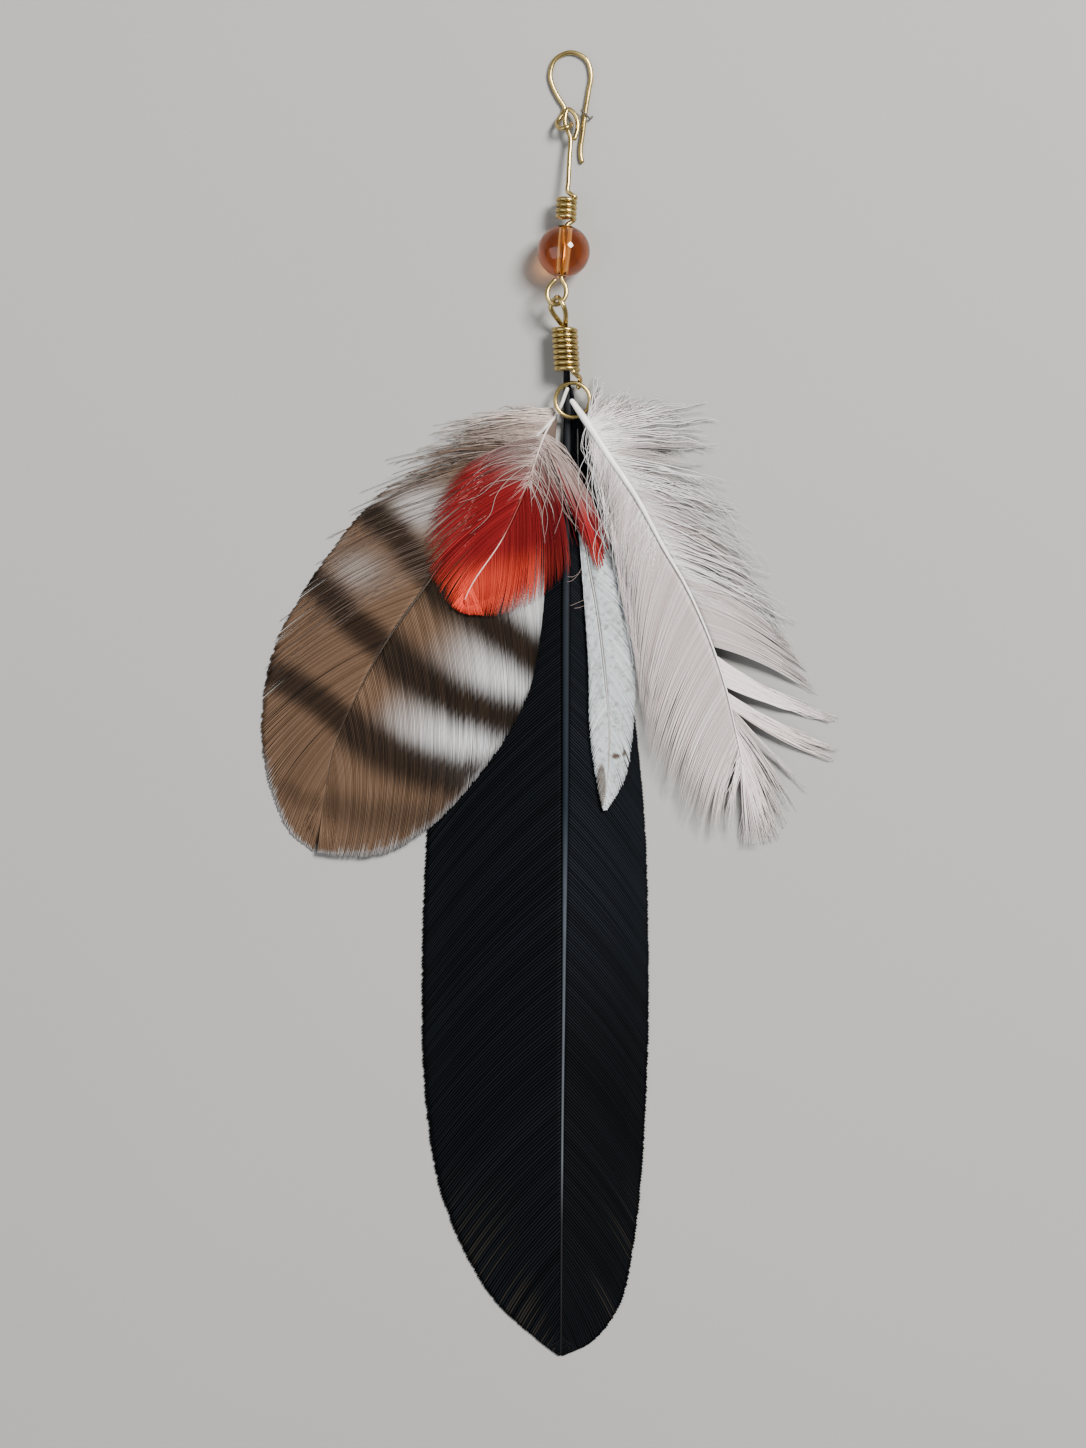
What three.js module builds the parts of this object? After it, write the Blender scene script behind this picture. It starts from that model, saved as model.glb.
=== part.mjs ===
// A hanging ornament of five feathers, tied by brass wire under an amber bead and a hook.
// It lies on its back on a surface. Millimetres, +Y toward the hook, +Z up.
// Places are measured from the centre of the jump ring, and the whole is shifted at the end
// so that its origin is the middle of its box, at the surface.
import * as THREE from 'three';
import { mergeVertices } from 'three/addons/utils/BufferGeometryUtils.js';

// Driving dimensions
const WIRE = 0.68;
const HOOK_WIRE = 0.68;
const WIRE_SIDES = 6;
const WIRE_STEP = 1.0;
const GAP = 0.3;

const RING_RADIUS = 2.62;
const RING_HEIGHT = 2.62;
const RING_STEPS = 24;

const BEAD_RADIUS = 4.0;
const BORE_RADIUS = 0.69;
const BEAD_CENTRE = [-1.38, 22.46, 4.06];
const BEAD_ARC_STEPS = 12;
const BEAD_SEGMENTS = 18;
const LINK_SLOPE = 0.126;

const WRAP_RADIUS = 1.3;
const WRAP_TURNS = 4;
const WRAP_TOP = [-0.92, 30.85];
const WRAP_BOTTOM = [-1.06, 27.4];

const COIL_RADIUS = 1.66;
const COIL_TURNS = 8;
const COIL_TOP = [-1.26, 10.95, 2.8];
const COIL_BOTTOM = [-0.88, 4.4, 3.1];
const POINTS_A_TURN = 12;

const VANE_THICKNESS = 0.36;
const FLAT_MARGIN = 0.8;
const ARCH_POWER = 1.6;
const QUILL_ROWS = 5;
const VANE_COLUMNS = [0.4, 0.8, 1.0];

// A feather's shaft is a list of points from the quill's end to the tip, at the rachis' middle.
// left and right are the outlines that the barbs reach, from the first barb to the tip.
// bare is the share of the shaft with no barbs, and lean draws the barbs toward the tip.
// A lock's notch is a share of the barb's length, at the base and at the tip of each vane.
const BLACK_FEATHER = {
  shaft: [[-0.9, 5.8, 2.75], [-0.9, 4.3, 2.45], [-0.88, 2.8, 1.5], [-0.8, 0.6, 0.85], [-0.7, -1.5, 0.75],
    [-0.8, -6, 0.95], [-1.0, -30.4, 1.35],
    [-1.1, -61, 1.35], [-1.3, -85.5, 1.2], [-1.6, -114.6, 0.85], [-1.8, -145.6, 0.3]],
  quillRadius: [0.15, 0.7, 0.7],
  tipRadius: 0.1,
  bare: 0.085,
  left: [[-1.8, -7.5], [-8.1, -21.3], [-14.2, -33.5], [-18.8, -45.7], [-21.4, -58], [-22.5, -70.2],
    [-23.0, -90.1], [-22.6, -105.4], [-20.6, -119.2], [-17.3, -128.4], [-11.9, -137.5], [-5.4, -143.5],
    [-2.1, -146]],
  right: [[0.2, -7], [2.9, -15.1], [5.8, -25.9], [8.1, -38.1], [9.9, -51.9], [11.1, -65.6],
    [11.6, -82.5], [11.5, -99.3], [10.7, -116.1], [9.3, -129.1], [7.3, -137.9], [3.1, -143.7],
    [-1.5, -146]],
  lean: [1.35, 1.2],
  locks: 20,
  notch: [[0.06, 0.02], [0.06, 0.02]],
  edgeHeight: [0.18, 0.18],
};
const PALE_GREY_FEATHER = {
  shaft: [[0.75, -4.4, 2.3], [0.8, -9.5, 2.35], [1.3, -15.5, 2.4], [2.3, -24, 2.35], [3.8, -32.7, 2.1],
    [5.0, -42.7, 1.9], [5.6, -51.6, 1.7], [4.9, -62.4, 1.6]],
  quillRadius: [0.2, 0.3, 0.3],
  tipRadius: 0.1,
  bare: 0.18,
  left: [[0.4, -15.1], [1.1, -22.2], [1.8, -31.7], [2.3, -39.6], [2.6, -51.1], [3.7, -58.8], [4.6, -62.6]],
  right: [[2.3, -14.8], [4.4, -19], [6.7, -24.6], [9.0, -30.4], [9.7, -39.6], [9.5, -48], [8.0, -57.7],
    [5.2, -62.6]],
  lean: [1.2, 1.2],
  locks: 9,
  notch: [[0.1, 0.06], [0.08, 0.04]],
  edgeHeight: [1.2, 0.9],
};
const BARRED_FEATHER = {
  shaft: [[-0.85, 1.7, 2.25], [-2.35, -1.9, 1.42], [-4.6, -4.6, 1.7], [-9.9, -10.1, 2.6],
    [-21.7, -27.4, 3.2], [-28.3, -36.7, 2.7], [-32.3, -43.8, 2.2], [-36.3, -52.6, 1.5], [-38.2, -62, 0.9]],
  quillRadius: [0.3, 0.42, 0.45],
  tipRadius: 0.1,
  bare: 0.06,
  left: [[-5.0, -3.4], [-10.4, -2.6], [-18.1, -4.8], [-26.5, -9.6], [-35.2, -20.5], [-41.6, -29.7],
    [-46.1, -38.9], [-47.6, -51.1], [-46.1, -59.5], [-43.3, -65.8], [-39.6, -68.9]],
  right: [[-3.8, -5.2], [-3.2, -10.6], [-3.8, -16.7], [-4.2, -25.9], [-4.8, -35], [-6.8, -44.8],
    [-10.7, -52.3], [-16.4, -59.8], [-21.9, -65.3], [-28.8, -69.2], [-34.9, -69.6], [-38.9, -69]],
  lean: [1.05, 1.05],
  locks: 20,
  notch: [[0.3, 0.05], [0.12, 0.03]],
  edgeHeight: [0.18, 1.1],
};
const RED_FEATHER = {
  shaft: [[-3.3, -3.6, 3.3], [-3.9, -4.6, 3.6], [-4.7, -6.4, 4.1], [-7.0, -13.2, 4.7], [-10.6, -21.1, 4.7],
    [-15.1, -27.8, 4.4], [-16.4, -30.4, 4.1]],
  quillRadius: [0.2, 0.24, 0.24],
  tipRadius: 0.08,
  bare: 0.06,
  left: [[-4.9, -5.2], [-11.2, -7.4], [-16.4, -9.9], [-20.0, -13.9], [-22.2, -19], [-22.6, -23.6],
    [-21.3, -27.8], [-19.0, -31], [-17.0, -32.6]],
  right: [[-3.4, -5.4], [1.8, -13.6], [5.4, -22], [5.0, -26.8], [1.1, -26.2], [-1.7, -27.4], [-4.3, -29.8],
    [-8.1, -31.9], [-11.5, -32.9], [-15.8, -32.8]],
  lean: [1.0, 1.0],
  locks: 14,
  notch: [[0.3, 0.12], [0.3, 0.12]],
  edgeHeight: [2.4, 3.0],
};
const WHITE_FEATHER = {
  shaft: [[-0.1, -0.3, 3.75], [1.5, -2.6, 4.0], [5.4, -8.6, 4.2], [9.7, -15, 4.0], [13.8, -22.5, 3.6],
    [17.3, -28.5, 3.2], [20.5, -35.5, 2.7], [23.1, -43, 2.1], [24.8, -50, 1.5], [26.6, -58.5, 1.0]],
  quillRadius: [0.45, 0.72, 0.6],
  tipRadius: 0.1,
  bare: 0.06,
  left: [[1.9, -4.9], [3.2, -10.6], [4.6, -19], [6.9, -28.9], [9.2, -38.1], [10.4, -47.3], [11.8, -55.7],
    [15.6, -61.8], [19.9, -66.6], [25.0, -67.9], [28.4, -67.9]],
  right: [[3.4, -2.2], [5.0, 3.5], [12.5, 2.6], [21.3, -0.6], [24.8, -12.1], [28.3, -24.3], [32.1, -34.3],
    [36.9, -43.2], [40.4, -49.1], [40.8, -53.7], [37.2, -60.8], [34.4, -65.6], [29.4, -67.9]],
  lean: [1.1, 1.1],
  locks: 25,
  notch: [[0.35, 0.16], [0.5, 0.35]],
  gaps: [14, 19, 21],
  edgeHeight: [1.4, 0.4],
};
const GAP_DEPTH = 0.86;

// The pin's lower eye, in plan. Its wire runs on through the bead.
const LOWER_EYE = [[-2.75, 18.0], [-3.69, 16.8], [-3.89, 15.6], [-3.4, 14.6], [-2.6, 14.25],
  [-1.6, 14.75], [-1.02, 15.9], [-1.16, 17.2], [-1.7, 18.2]];
const PIN_BELOW = [[-1.7, 19.1], [-1.38, 22.46], [-1.1, 26.2]];
const PIN_ABOVE = [[-0.74, 31.75], [-0.68, 33.0], [-0.5, 37.0], [-0.36, 40.0]];
const UPPER_EYE = [[-0.7, 41.1], [-1.12, 42.2], [-1.15, 43.4], [-0.7, 44.5], [0.05, 44.05], [0.62, 43.0],
  [0.77, 41.8], [0.62, 40.9], [0.3, 39.95]];

// The coil wire's eye goes down one side of the pin's eye and up the other.
const COIL_EYE = [[-1.7, 11.6, 1.9], [-2.2, 12.2, 2.4], [-3.0, 13.2, 3.1], [-3.35, 14.0, 3.45],
  [-2.85, 15.05, 3.8], [-2.45, 15.35, 4.8], [-2.1, 15.1, 5.85], [-1.5, 14.1, 6.15], [-1.1, 12.9, 5.6],
  [-1.1, 11.8, 4.4]];
const COIL_TAIL = [[0.0, 4.25, 4.5], [0.6, 3.7, 4.1], [1.05, 3.35, 3.0], [1.1, 2.85, 1.75],
  [0.9, 2.05, 1.7]];

// The hook: its free end, the leg, the teardrop, and the curl that goes round the pin's eye.
const HOOK_HEIGHT = 0.42;
const HOOK = [[1.4, 36.7], [1.22, 37.7], [1.25, 39.0], [1.49, 40.6], [1.92, 44.1], [2.44, 47.3],
  [2.81, 49.9], [2.05, 52.3], [-0.32, 53.35], [-2.62, 52.3], [-3.43, 50.0], [-3.06, 48.2], [-2.16, 46.4],
  [-1.25, 44.8]];
const HOOK_CURL = [[-1.75, 43.6, 0.45], [-2.35, 42.6, 0.9], [-2.3, 41.8, 1.9], [-1.6, 41.35, 2.8],
  [-0.9, 41.5, 2.9], [-0.32, 41.9, 2.4], [-0.16, 42.2, 1.6], [-0.14, 42.35, 0.95]];

// A thin dark fibre curled over the hook's leg
const FIBRE_THICKNESS = 0.3;
const FIBRE = [[1.3, 44.35, 1.15], [1.82, 43.93, 1.2], [2.36, 43.4, 1.0], [2.74, 43.16, 0.65], [3.0, 43.5, 0.45]];

const group = new THREE.Group();
const object = new THREE.Group();
group.add(object);

function material(color, roughness, metalness = 0) {
  return new THREE.MeshStandardMaterial({ color, roughness, metalness });
}

function addMesh(name, geometry, meshMaterial) {
  const mesh = new THREE.Mesh(geometry, meshMaterial);
  mesh.name = name;
  object.add(mesh);
  mesh.updateMatrixWorld(true);
  return mesh;
}

function spline(points) {
  const vectors = points.map(([x, y, z = 0]) => new THREE.Vector3(x, y, z));
  return new THREE.CatmullRomCurve3(vectors, false, 'centripetal');
}

function closed(geometry) {
  geometry.deleteAttribute('normal');
  geometry.deleteAttribute('uv');
  return mergeVertices(geometry, 1e-4);
}

// A round wire along a curve
function wire(points, diameter, sides = WIRE_SIDES, step = WIRE_STEP) {
  const path = spline(points);
  const steps = Math.round(path.getLength() / step);
  const corners = [];
  for (let i = 0; i < sides; i += 1) {
    const angle = (2 * Math.PI * i) / sides;
    corners.push(new THREE.Vector2(Math.cos(angle), Math.sin(angle)).multiplyScalar(diameter / 2));
  }
  const outline = new THREE.Shape(corners);
  return new THREE.ExtrudeGeometry(outline, { steps, extrudePath: path, bevelEnabled: false });
}

// The points of a helix around the line between two places
function helix(start, end, radius, turns, firstAngle) {
  const from = new THREE.Vector3(...start);
  const axis = new THREE.Vector3(...end).sub(from);
  const across = new THREE.Vector3(1, 0, 0).projectOnPlane(axis.clone().normalize()).normalize();
  const up = new THREE.Vector3().crossVectors(across, axis).normalize();
  const points = [];
  const count = Math.round(turns * POINTS_A_TURN);
  for (let i = 0; i <= count; i += 1) {
    const angle = firstAngle + (2 * Math.PI * i) / POINTS_A_TURN;
    const point = from.clone().addScaledVector(axis, i / count);
    point.addScaledVector(across, radius * Math.cos(angle));
    point.addScaledVector(up, radius * Math.sin(angle));
    points.push(point.toArray());
  }
  return points;
}

// The pin's line rises from the hook toward its lower eye.
function onLink([x, y]) {
  return [x, y, BEAD_CENTRE[2] - (y - BEAD_CENTRE[1]) * LINK_SLOPE];
}

function pinWire() {
  const wrap = helix(onLink(WRAP_BOTTOM), onLink(WRAP_TOP), WRAP_RADIUS, WRAP_TURNS, 0);
  const plan = [...LOWER_EYE, ...PIN_BELOW].map(onLink);
  const rest = [...PIN_ABOVE, ...UPPER_EYE].map(onLink);
  return wire([...plan, ...wrap, ...rest], WIRE);
}

function coilWire() {
  const turns = helix(COIL_TOP, COIL_BOTTOM, COIL_RADIUS, COIL_TURNS - 0.25, Math.PI / 2);
  return wire([...COIL_EYE, ...turns, ...COIL_TAIL], WIRE);
}

function jumpRing() {
  const ring = new THREE.TorusGeometry(RING_RADIUS, WIRE / 2, WIRE_SIDES, RING_STEPS);
  ring.translate(0, 0, RING_HEIGHT);
  return ring;
}

// A ball with a bore along the pin, as one closed profile turned round its axis
function bead() {
  const tilt = Math.asin(BORE_RADIUS / BEAD_RADIUS);
  const profile = [];
  for (let i = 0; i <= BEAD_ARC_STEPS; i += 1) {
    const angle = tilt + ((Math.PI - 2 * tilt) * i) / BEAD_ARC_STEPS;
    profile.push(new THREE.Vector2(BEAD_RADIUS * Math.sin(angle), -BEAD_RADIUS * Math.cos(angle)));
  }
  profile.push(profile[0].clone());
  const ball = new THREE.LatheGeometry(profile, BEAD_SEGMENTS);
  const [below, , above] = PIN_BELOW.map((point) => new THREE.Vector3(...onLink(point)));
  const direction = above.sub(below).normalize();
  const turn = new THREE.Quaternion().setFromUnitVectors(new THREE.Vector3(0, 1, 0), direction);
  ball.applyQuaternion(turn);
  ball.translate(...BEAD_CENTRE);
  return ball;
}

// The height of the highest piece under a place, over a small disc around it
const DISC_RADIUS = 1.6;
const DISC_SAMPLES = 8;
const RAY_HEIGHT = 20;
function heightBelow(x, y, pieces) {
  if (pieces.length === 0) {
    return 0;
  }
  const ray = new THREE.Raycaster();
  let height = 0;
  for (let i = 0; i <= DISC_SAMPLES; i += 1) {
    const angle = (2 * Math.PI * i) / DISC_SAMPLES;
    const reach = i === 0 ? 0 : DISC_RADIUS;
    const start = new THREE.Vector3(x + reach * Math.cos(angle), y + reach * Math.sin(angle), RAY_HEIGHT);
    ray.set(start, new THREE.Vector3(0, 0, -1));
    for (const hit of ray.intersectObjects(pieces)) {
      height = Math.max(height, hit.point.z);
    }
  }
  return height;
}

function scatter(index) {
  const value = Math.sin(index * 12.9898) * 43758.5453;
  return value - Math.floor(value);
}

function mix(a, b, share) {
  return a + (b - a) * share;
}

// How far the tip of a row's barbs is drawn back, to part the locks
function drawnBack(spec, row, side) {
  const lock = (row - 1) / 2;
  if (row % 2 === 0 || lock === spec.locks - 1) {
    return 0;
  }
  if (side > 0 && spec.gaps && spec.gaps.includes(lock)) {
    return GAP_DEPTH;
  }
  const [atBase, atTip] = spec.notch[side < 0 ? 0 : 1];
  const depth = mix(atBase, atTip, lock / spec.locks);
  return depth * mix(0.5, 1, scatter(lock * 2 + side));
}

// One feather: a block of rows along the shaft and columns across it, whose corners are
// moved to a round quill, a rachis with a ridge, and two arched vanes parted into locks.
function feather(spec, piecesBelow) {
  const shaft = spline(spec.shaft);
  const edges = { '-1': spline(spec.left), 1: spline(spec.right) };
  const columns = [...VANE_COLUMNS].reverse().map((share) => [-1, share]);
  columns.push([-1, 0], [0, 0], [1, 0], ...VANE_COLUMNS.map((share) => [1, share]));
  const last = columns.length - 1;
  const vaneRows = 2 * spec.locks;
  const rows = QUILL_ROWS + vaneRows;
  const [endRadius, neckRadius, baseRadius] = spec.quillRadius;
  const place = (column, row, top) => {
    const upward = top ? 1 : -1;
    if (row < QUILL_ROWS) {
      const along = row / QUILL_ROWS;
      const centre = shaft.getPointAt(spec.bare * along);
      const tangent = shaft.getTangentAt(spec.bare * along);
      const across = new THREE.Vector3(-tangent.y, tangent.x, 0).normalize().negate();
      const radius = mix(endRadius, neckRadius, along);
      const angle = (Math.PI * column) / last - Math.PI / 2;
      const side = across.multiplyScalar(-radius * Math.sin(angle));
      const rise = radius * Math.max(Math.cos(angle), 0.25);
      return centre.add(side).add(new THREE.Vector3(0, 0, upward * rise));
    }
    const vaneRow = row - QUILL_ROWS;
    const along = vaneRow / vaneRows;
    const shaftShare = mix(spec.bare, 1, along);
    const centre = shaft.getPointAt(shaftShare);
    const tangent = shaft.getTangentAt(shaftShare);
    const [side, share] = columns[column];
    const radius = mix(baseRadius, spec.tipRadius, along);
    if (side === 0) {
      return centre.add(new THREE.Vector3(0, 0, upward * radius));
    }
    const across = new THREE.Vector3(tangent.y, -tangent.x, 0).normalize().multiplyScalar(-side * radius);
    const root = centre.clone().add(across);
    const half = (upward * VANE_THICKNESS) / 2;
    const lean = spec.lean[side < 0 ? 0 : 1];
    const tip = edges[side].getPointAt(1 - (1 - along) ** lean);
    const reach = share * (1 - drawnBack(spec, vaneRow, side));
    const edgeHeight = spec.edgeHeight[side < 0 ? 0 : 1];
    const arch = share < FLAT_MARGIN ? 1 - (share / FLAT_MARGIN) ** ARCH_POWER : 0;
    const x = mix(root.x, tip.x, reach);
    const y = mix(root.y, tip.y, reach);
    const resting = heightBelow(x, y, piecesBelow);
    const lowest = resting > 0 ? resting + GAP + VANE_THICKNESS / 2 : VANE_THICKNESS / 2;
    const z = share === 0 ? centre.z : Math.max(mix(edgeHeight, centre.z, arch), lowest);
    return new THREE.Vector3(x, y, z + half);
  };
  const geometry = new THREE.BoxGeometry(1, 1, 1, last, rows, 1);
  const position = geometry.getAttribute('position');
  for (let i = 0; i < position.count; i += 1) {
    const column = Math.round((position.getX(i) + 0.5) * last);
    const row = Math.round((0.5 - position.getY(i)) * rows);
    const corner = place(column, row, position.getZ(i) > 0);
    position.setXYZ(i, corner.x, corner.y, corner.z);
  }
  return closed(geometry);
}

const brass = () => material(0xb39a5c, 0.35, 0.9);
const ring = addMesh('jump_ring', jumpRing(), brass());
addMesh('coil_wire', coilWire(), brass());
addMesh('pin_wire', pinWire(), brass());
addMesh('bead', bead(), material(0xd98a4a, 0.05));
const hook = [...HOOK.map(([x, y]) => [x, y, HOOK_HEIGHT]), ...HOOK_CURL];
addMesh('hook_wire', wire(hook, HOOK_WIRE), brass());
addMesh('leg_fibre', wire(FIBRE, FIBRE_THICKNESS, 5, 0.5), material(0x4a4640, 0.8));

const black = addMesh('black_vulture_feather', feather(BLACK_FEATHER, []), material(0x101318, 0.55));
const pale = addMesh('pale_grey_feather', feather(PALE_GREY_FEATHER, [black]), material(0xb9bcb8, 0.8));
const barred = addMesh('barred_feather', feather(BARRED_FEATHER, [black]), material(0x8a7764, 0.8));
const red = addMesh('red_feather', feather(RED_FEATHER, [black, pale, barred]), material(0xb23a30, 0.75));
addMesh('white_feather', feather(WHITE_FEATHER, [black, pale, red, ring]), material(0xd9cdca, 0.85));

// The origin is the middle of the whole object's box, on the surface.
const box = new THREE.Box3().setFromObject(object);
const middle = box.getCenter(new THREE.Vector3());
object.position.set(-middle.x, -middle.y, -box.min.z);
group.updateMatrixWorld(true);

export default group;
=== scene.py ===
# The looks of a hanging ornament: five feathers tied by brass wire under an amber bead and a hook.
# It lies on its back on a pale floor and the camera looks straight down on it.
# Shapes are worked out in millimetres from the jump ring's centre, +Y toward the hook, +Z up,
# and move to the frame's metres when a mesh is made.
import math

import bpy
import numpy as np
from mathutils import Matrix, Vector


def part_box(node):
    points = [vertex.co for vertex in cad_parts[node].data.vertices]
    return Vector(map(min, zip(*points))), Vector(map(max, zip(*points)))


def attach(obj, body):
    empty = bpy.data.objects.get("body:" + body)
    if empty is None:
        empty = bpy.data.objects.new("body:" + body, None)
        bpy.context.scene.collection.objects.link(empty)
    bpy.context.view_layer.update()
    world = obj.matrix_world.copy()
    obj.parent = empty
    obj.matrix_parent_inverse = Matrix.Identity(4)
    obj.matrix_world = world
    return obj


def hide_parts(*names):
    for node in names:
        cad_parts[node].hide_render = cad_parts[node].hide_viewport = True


MM = 0.001
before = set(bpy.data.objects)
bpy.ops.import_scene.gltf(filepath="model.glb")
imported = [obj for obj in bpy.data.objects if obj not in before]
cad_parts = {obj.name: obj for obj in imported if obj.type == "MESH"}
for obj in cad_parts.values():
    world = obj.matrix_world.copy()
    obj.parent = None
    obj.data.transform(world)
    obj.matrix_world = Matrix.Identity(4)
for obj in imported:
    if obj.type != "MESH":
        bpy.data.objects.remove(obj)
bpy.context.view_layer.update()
ring_low, ring_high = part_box("jump_ring")
RING_CENTRE = np.array([(ring_low.x + ring_high.x) / 2, (ring_low.y + ring_high.y) / 2, 0.0])

# Camera: the photograph's frame is 1086 by 1448 pixels, at 0.153 mm a pixel on the floor
PHOTO_HEIGHT = 1448
MM_PER_PIXEL = 0.153
CAMERA_HEIGHT = 550.0
CAMERA_POINT = (-4.53, -49.33)
SENSOR = 36.0
CLIP = (0.01, 10.0)
FLOOR_HALF = 3.0

# Wires and bead, on the CAD's lines, with the wires as thick as they look in the photograph
WIRE = 0.71
COIL_WIRE = 0.78
RING_WIRE = 0.64
RING_RADIUS = 2.62
RING_HEIGHT = 2.62
BEAD_RADIUS = 4.0
BORE_RADIUS = 0.69
BEAD_CENTRE = (-1.38, 22.46, 4.06)
LINK_SLOPE = 0.126
WRAP_RADIUS = 1.3
WRAP_TURNS = 4
WRAP_TOP = (-0.92, 30.85)
WRAP_BOTTOM = (-1.06, 27.4)
COIL_RADIUS = 1.66
COIL_TURNS = 7.75
COIL_TOP = (-1.26, 10.95, 2.8)
COIL_BOTTOM = (-0.88, 4.4, 3.1)
POINTS_A_TURN = 12
LOWER_EYE = [(-2.75, 18.0), (-3.69, 16.8), (-3.89, 15.6), (-3.4, 14.6), (-2.6, 14.25), (-1.6, 14.75),
             (-1.02, 15.9), (-1.16, 17.2), (-1.7, 18.2)]
PIN_BELOW = [(-1.7, 19.1), (-1.38, 22.46), (-1.1, 26.2)]
PIN_ABOVE = [(-0.74, 31.75), (-0.68, 33.0), (-0.5, 37.0), (-0.36, 40.0)]
UPPER_EYE = [(-0.7, 41.1), (-1.12, 42.2), (-1.15, 43.4), (-0.7, 44.5), (0.05, 44.05), (0.62, 43.0),
             (0.77, 41.8), (0.62, 40.9), (0.3, 39.95)]
COIL_EYE = [(-1.7, 11.6, 1.9), (-2.2, 12.2, 2.4), (-3.0, 13.2, 3.1), (-3.35, 14.0, 3.45),
            (-2.85, 15.05, 3.8), (-2.45, 15.35, 4.8), (-2.1, 15.1, 5.85), (-1.5, 14.1, 6.15),
            (-1.1, 12.9, 5.6), (-1.1, 11.8, 4.4)]
COIL_TAIL = [(0.0, 4.25, 4.5), (0.6, 3.7, 4.1), (1.05, 3.35, 3.0), (1.1, 2.85, 1.75), (0.9, 2.05, 1.7)]
HOOK_HEIGHT = 0.42
HOOK = [(1.4, 36.7), (1.22, 37.7), (1.25, 39.0), (1.49, 40.6), (1.92, 44.1), (2.44, 47.3), (2.81, 49.9),
        (2.05, 52.3), (-0.32, 53.35), (-2.62, 52.3), (-3.43, 50.0), (-3.06, 48.2), (-2.16, 46.4),
        (-1.25, 44.8)]
HOOK_CURL = [(-1.75, 43.6, 0.45), (-2.35, 42.6, 0.9), (-2.3, 41.8, 1.9), (-1.6, 41.35, 2.8),
             (-0.9, 41.5, 2.9), (-0.32, 41.9, 2.4), (-0.16, 42.2, 1.6), (-0.14, 42.35, 0.95)]
FIBRE_THICKNESS = 0.3
FIBRE = [(1.3, 44.35, 1.15), (1.82, 43.93, 1.2), (2.36, 43.4, 1.0), (2.74, 43.16, 0.65), (3.0, 43.5, 0.45)]

# Feathers, as in the CAD: the shaft from the quill's end to the tip, and the outline of each vane
BLACK = dict(
    shaft=[(-0.9, 5.8, 2.75), (-0.9, 4.3, 2.45), (-0.88, 2.8, 1.5), (-0.8, 0.6, 0.85), (-0.7, -1.5, 0.75),
           (-0.8, -6, 0.95), (-1.0, -30.4, 1.35), (-1.1, -61, 1.35), (-1.3, -85.5, 1.2),
           (-1.6, -114.6, 0.85), (-1.8, -145.6, 0.3)],
    bare=0.085,
    reach={-1: [(0, 0.03), (0.09, 0.19), (0.24, 0.385), (0.38, 0.53), (0.53, 0.66), (0.67, 0.777),
                (0.815, 0.89), (0.92, 0.96), (1, 1)],
           1: [(0, 0.03), (0.09, 0.16), (0.24, 0.33), (0.38, 0.485), (0.53, 0.627), (0.67, 0.762),
               (0.815, 0.887), (0.92, 0.97), (1, 1)]},
    left=[(-1.8, -7.5), (-8.1, -21.3), (-14.2, -33.5), (-18.8, -45.7), (-21.4, -58), (-22.5, -70.2),
          (-23.0, -90.1), (-22.6, -105.4), (-20.6, -119.2), (-17.3, -128.4), (-11.9, -137.5),
          (-5.4, -143.5), (-2.1, -146)],
    right=[(0.2, -7), (2.9, -15.1), (5.8, -25.9), (8.1, -38.1), (9.9, -51.9), (11.1, -65.6), (11.6, -82.5),
           (11.5, -99.3), (10.7, -116.1), (9.3, -129.1), (7.3, -137.9), (3.1, -143.7), (-1.5, -146)],
    edge_height=(0.18, 0.18),
)
PALE = dict(
    shaft=[(0.75, -4.4, 2.3), (0.8, -9.5, 2.35), (1.3, -15.5, 2.4), (2.3, -24, 2.35), (3.8, -32.7, 2.1),
           (5.0, -42.7, 1.9), (5.6, -51.6, 1.7), (4.9, -62.4, 1.6)],
    bare=0.18,
    reach={-1: [(0, 0.08), (0.3, 0.42), (0.6, 0.7), (0.85, 0.92), (1, 1)],
           1: [(0, 0.08), (0.3, 0.45), (0.6, 0.74), (0.85, 0.93), (1, 1)]},
    left=[(0.4, -15.1), (1.1, -22.2), (1.8, -31.7), (2.3, -39.6), (2.6, -51.1), (3.7, -58.8), (4.6, -62.6)],
    right=[(2.3, -14.8), (4.4, -19), (6.7, -24.6), (9.0, -30.4), (9.7, -39.6), (9.5, -48), (8.0, -57.7),
           (5.2, -62.6)],
    edge_height=(1.2, 0.9),
)
BARRED = dict(
    shaft=[(-0.85, 1.7, 2.25), (-2.35, -1.9, 1.42), (-4.6, -4.6, 1.7), (-9.9, -10.1, 2.6),
           (-21.7, -27.4, 3.2), (-28.3, -36.7, 2.7), (-32.3, -43.8, 2.2), (-36.3, -52.6, 1.5),
           (-38.2, -62, 0.9)],
    bare=0.06,
    reach={-1: [(0, 0.12), (0.07, 0.27), (0.14, 0.37), (0.34, 0.61), (0.44, 0.665), (0.6, 0.75), (0.75, 0.87),
                (0.89, 0.96), (1, 1)],
           1: [(0, 0.03), (0.14, 0.36), (0.22, 0.48), (0.44, 0.735), (0.61, 0.87), (0.75, 0.93), (0.89, 0.98),
               (1, 1)]},
    left=[(-5.0, -3.4), (-10.4, -2.6), (-18.1, -4.8), (-26.5, -9.6), (-35.2, -20.5), (-41.6, -29.7),
          (-46.1, -38.9), (-47.6, -51.1), (-46.1, -59.5), (-43.3, -65.8), (-39.6, -68.9)],
    right=[(-3.8, -5.2), (-3.2, -10.6), (-3.8, -16.7), (-4.2, -25.9), (-4.8, -35), (-6.8, -44.8),
           (-10.7, -52.3), (-16.4, -59.8), (-21.9, -65.3), (-28.8, -69.2), (-34.9, -69.6), (-38.9, -69)],
    edge_height=(0.18, 1.1),
)
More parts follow.
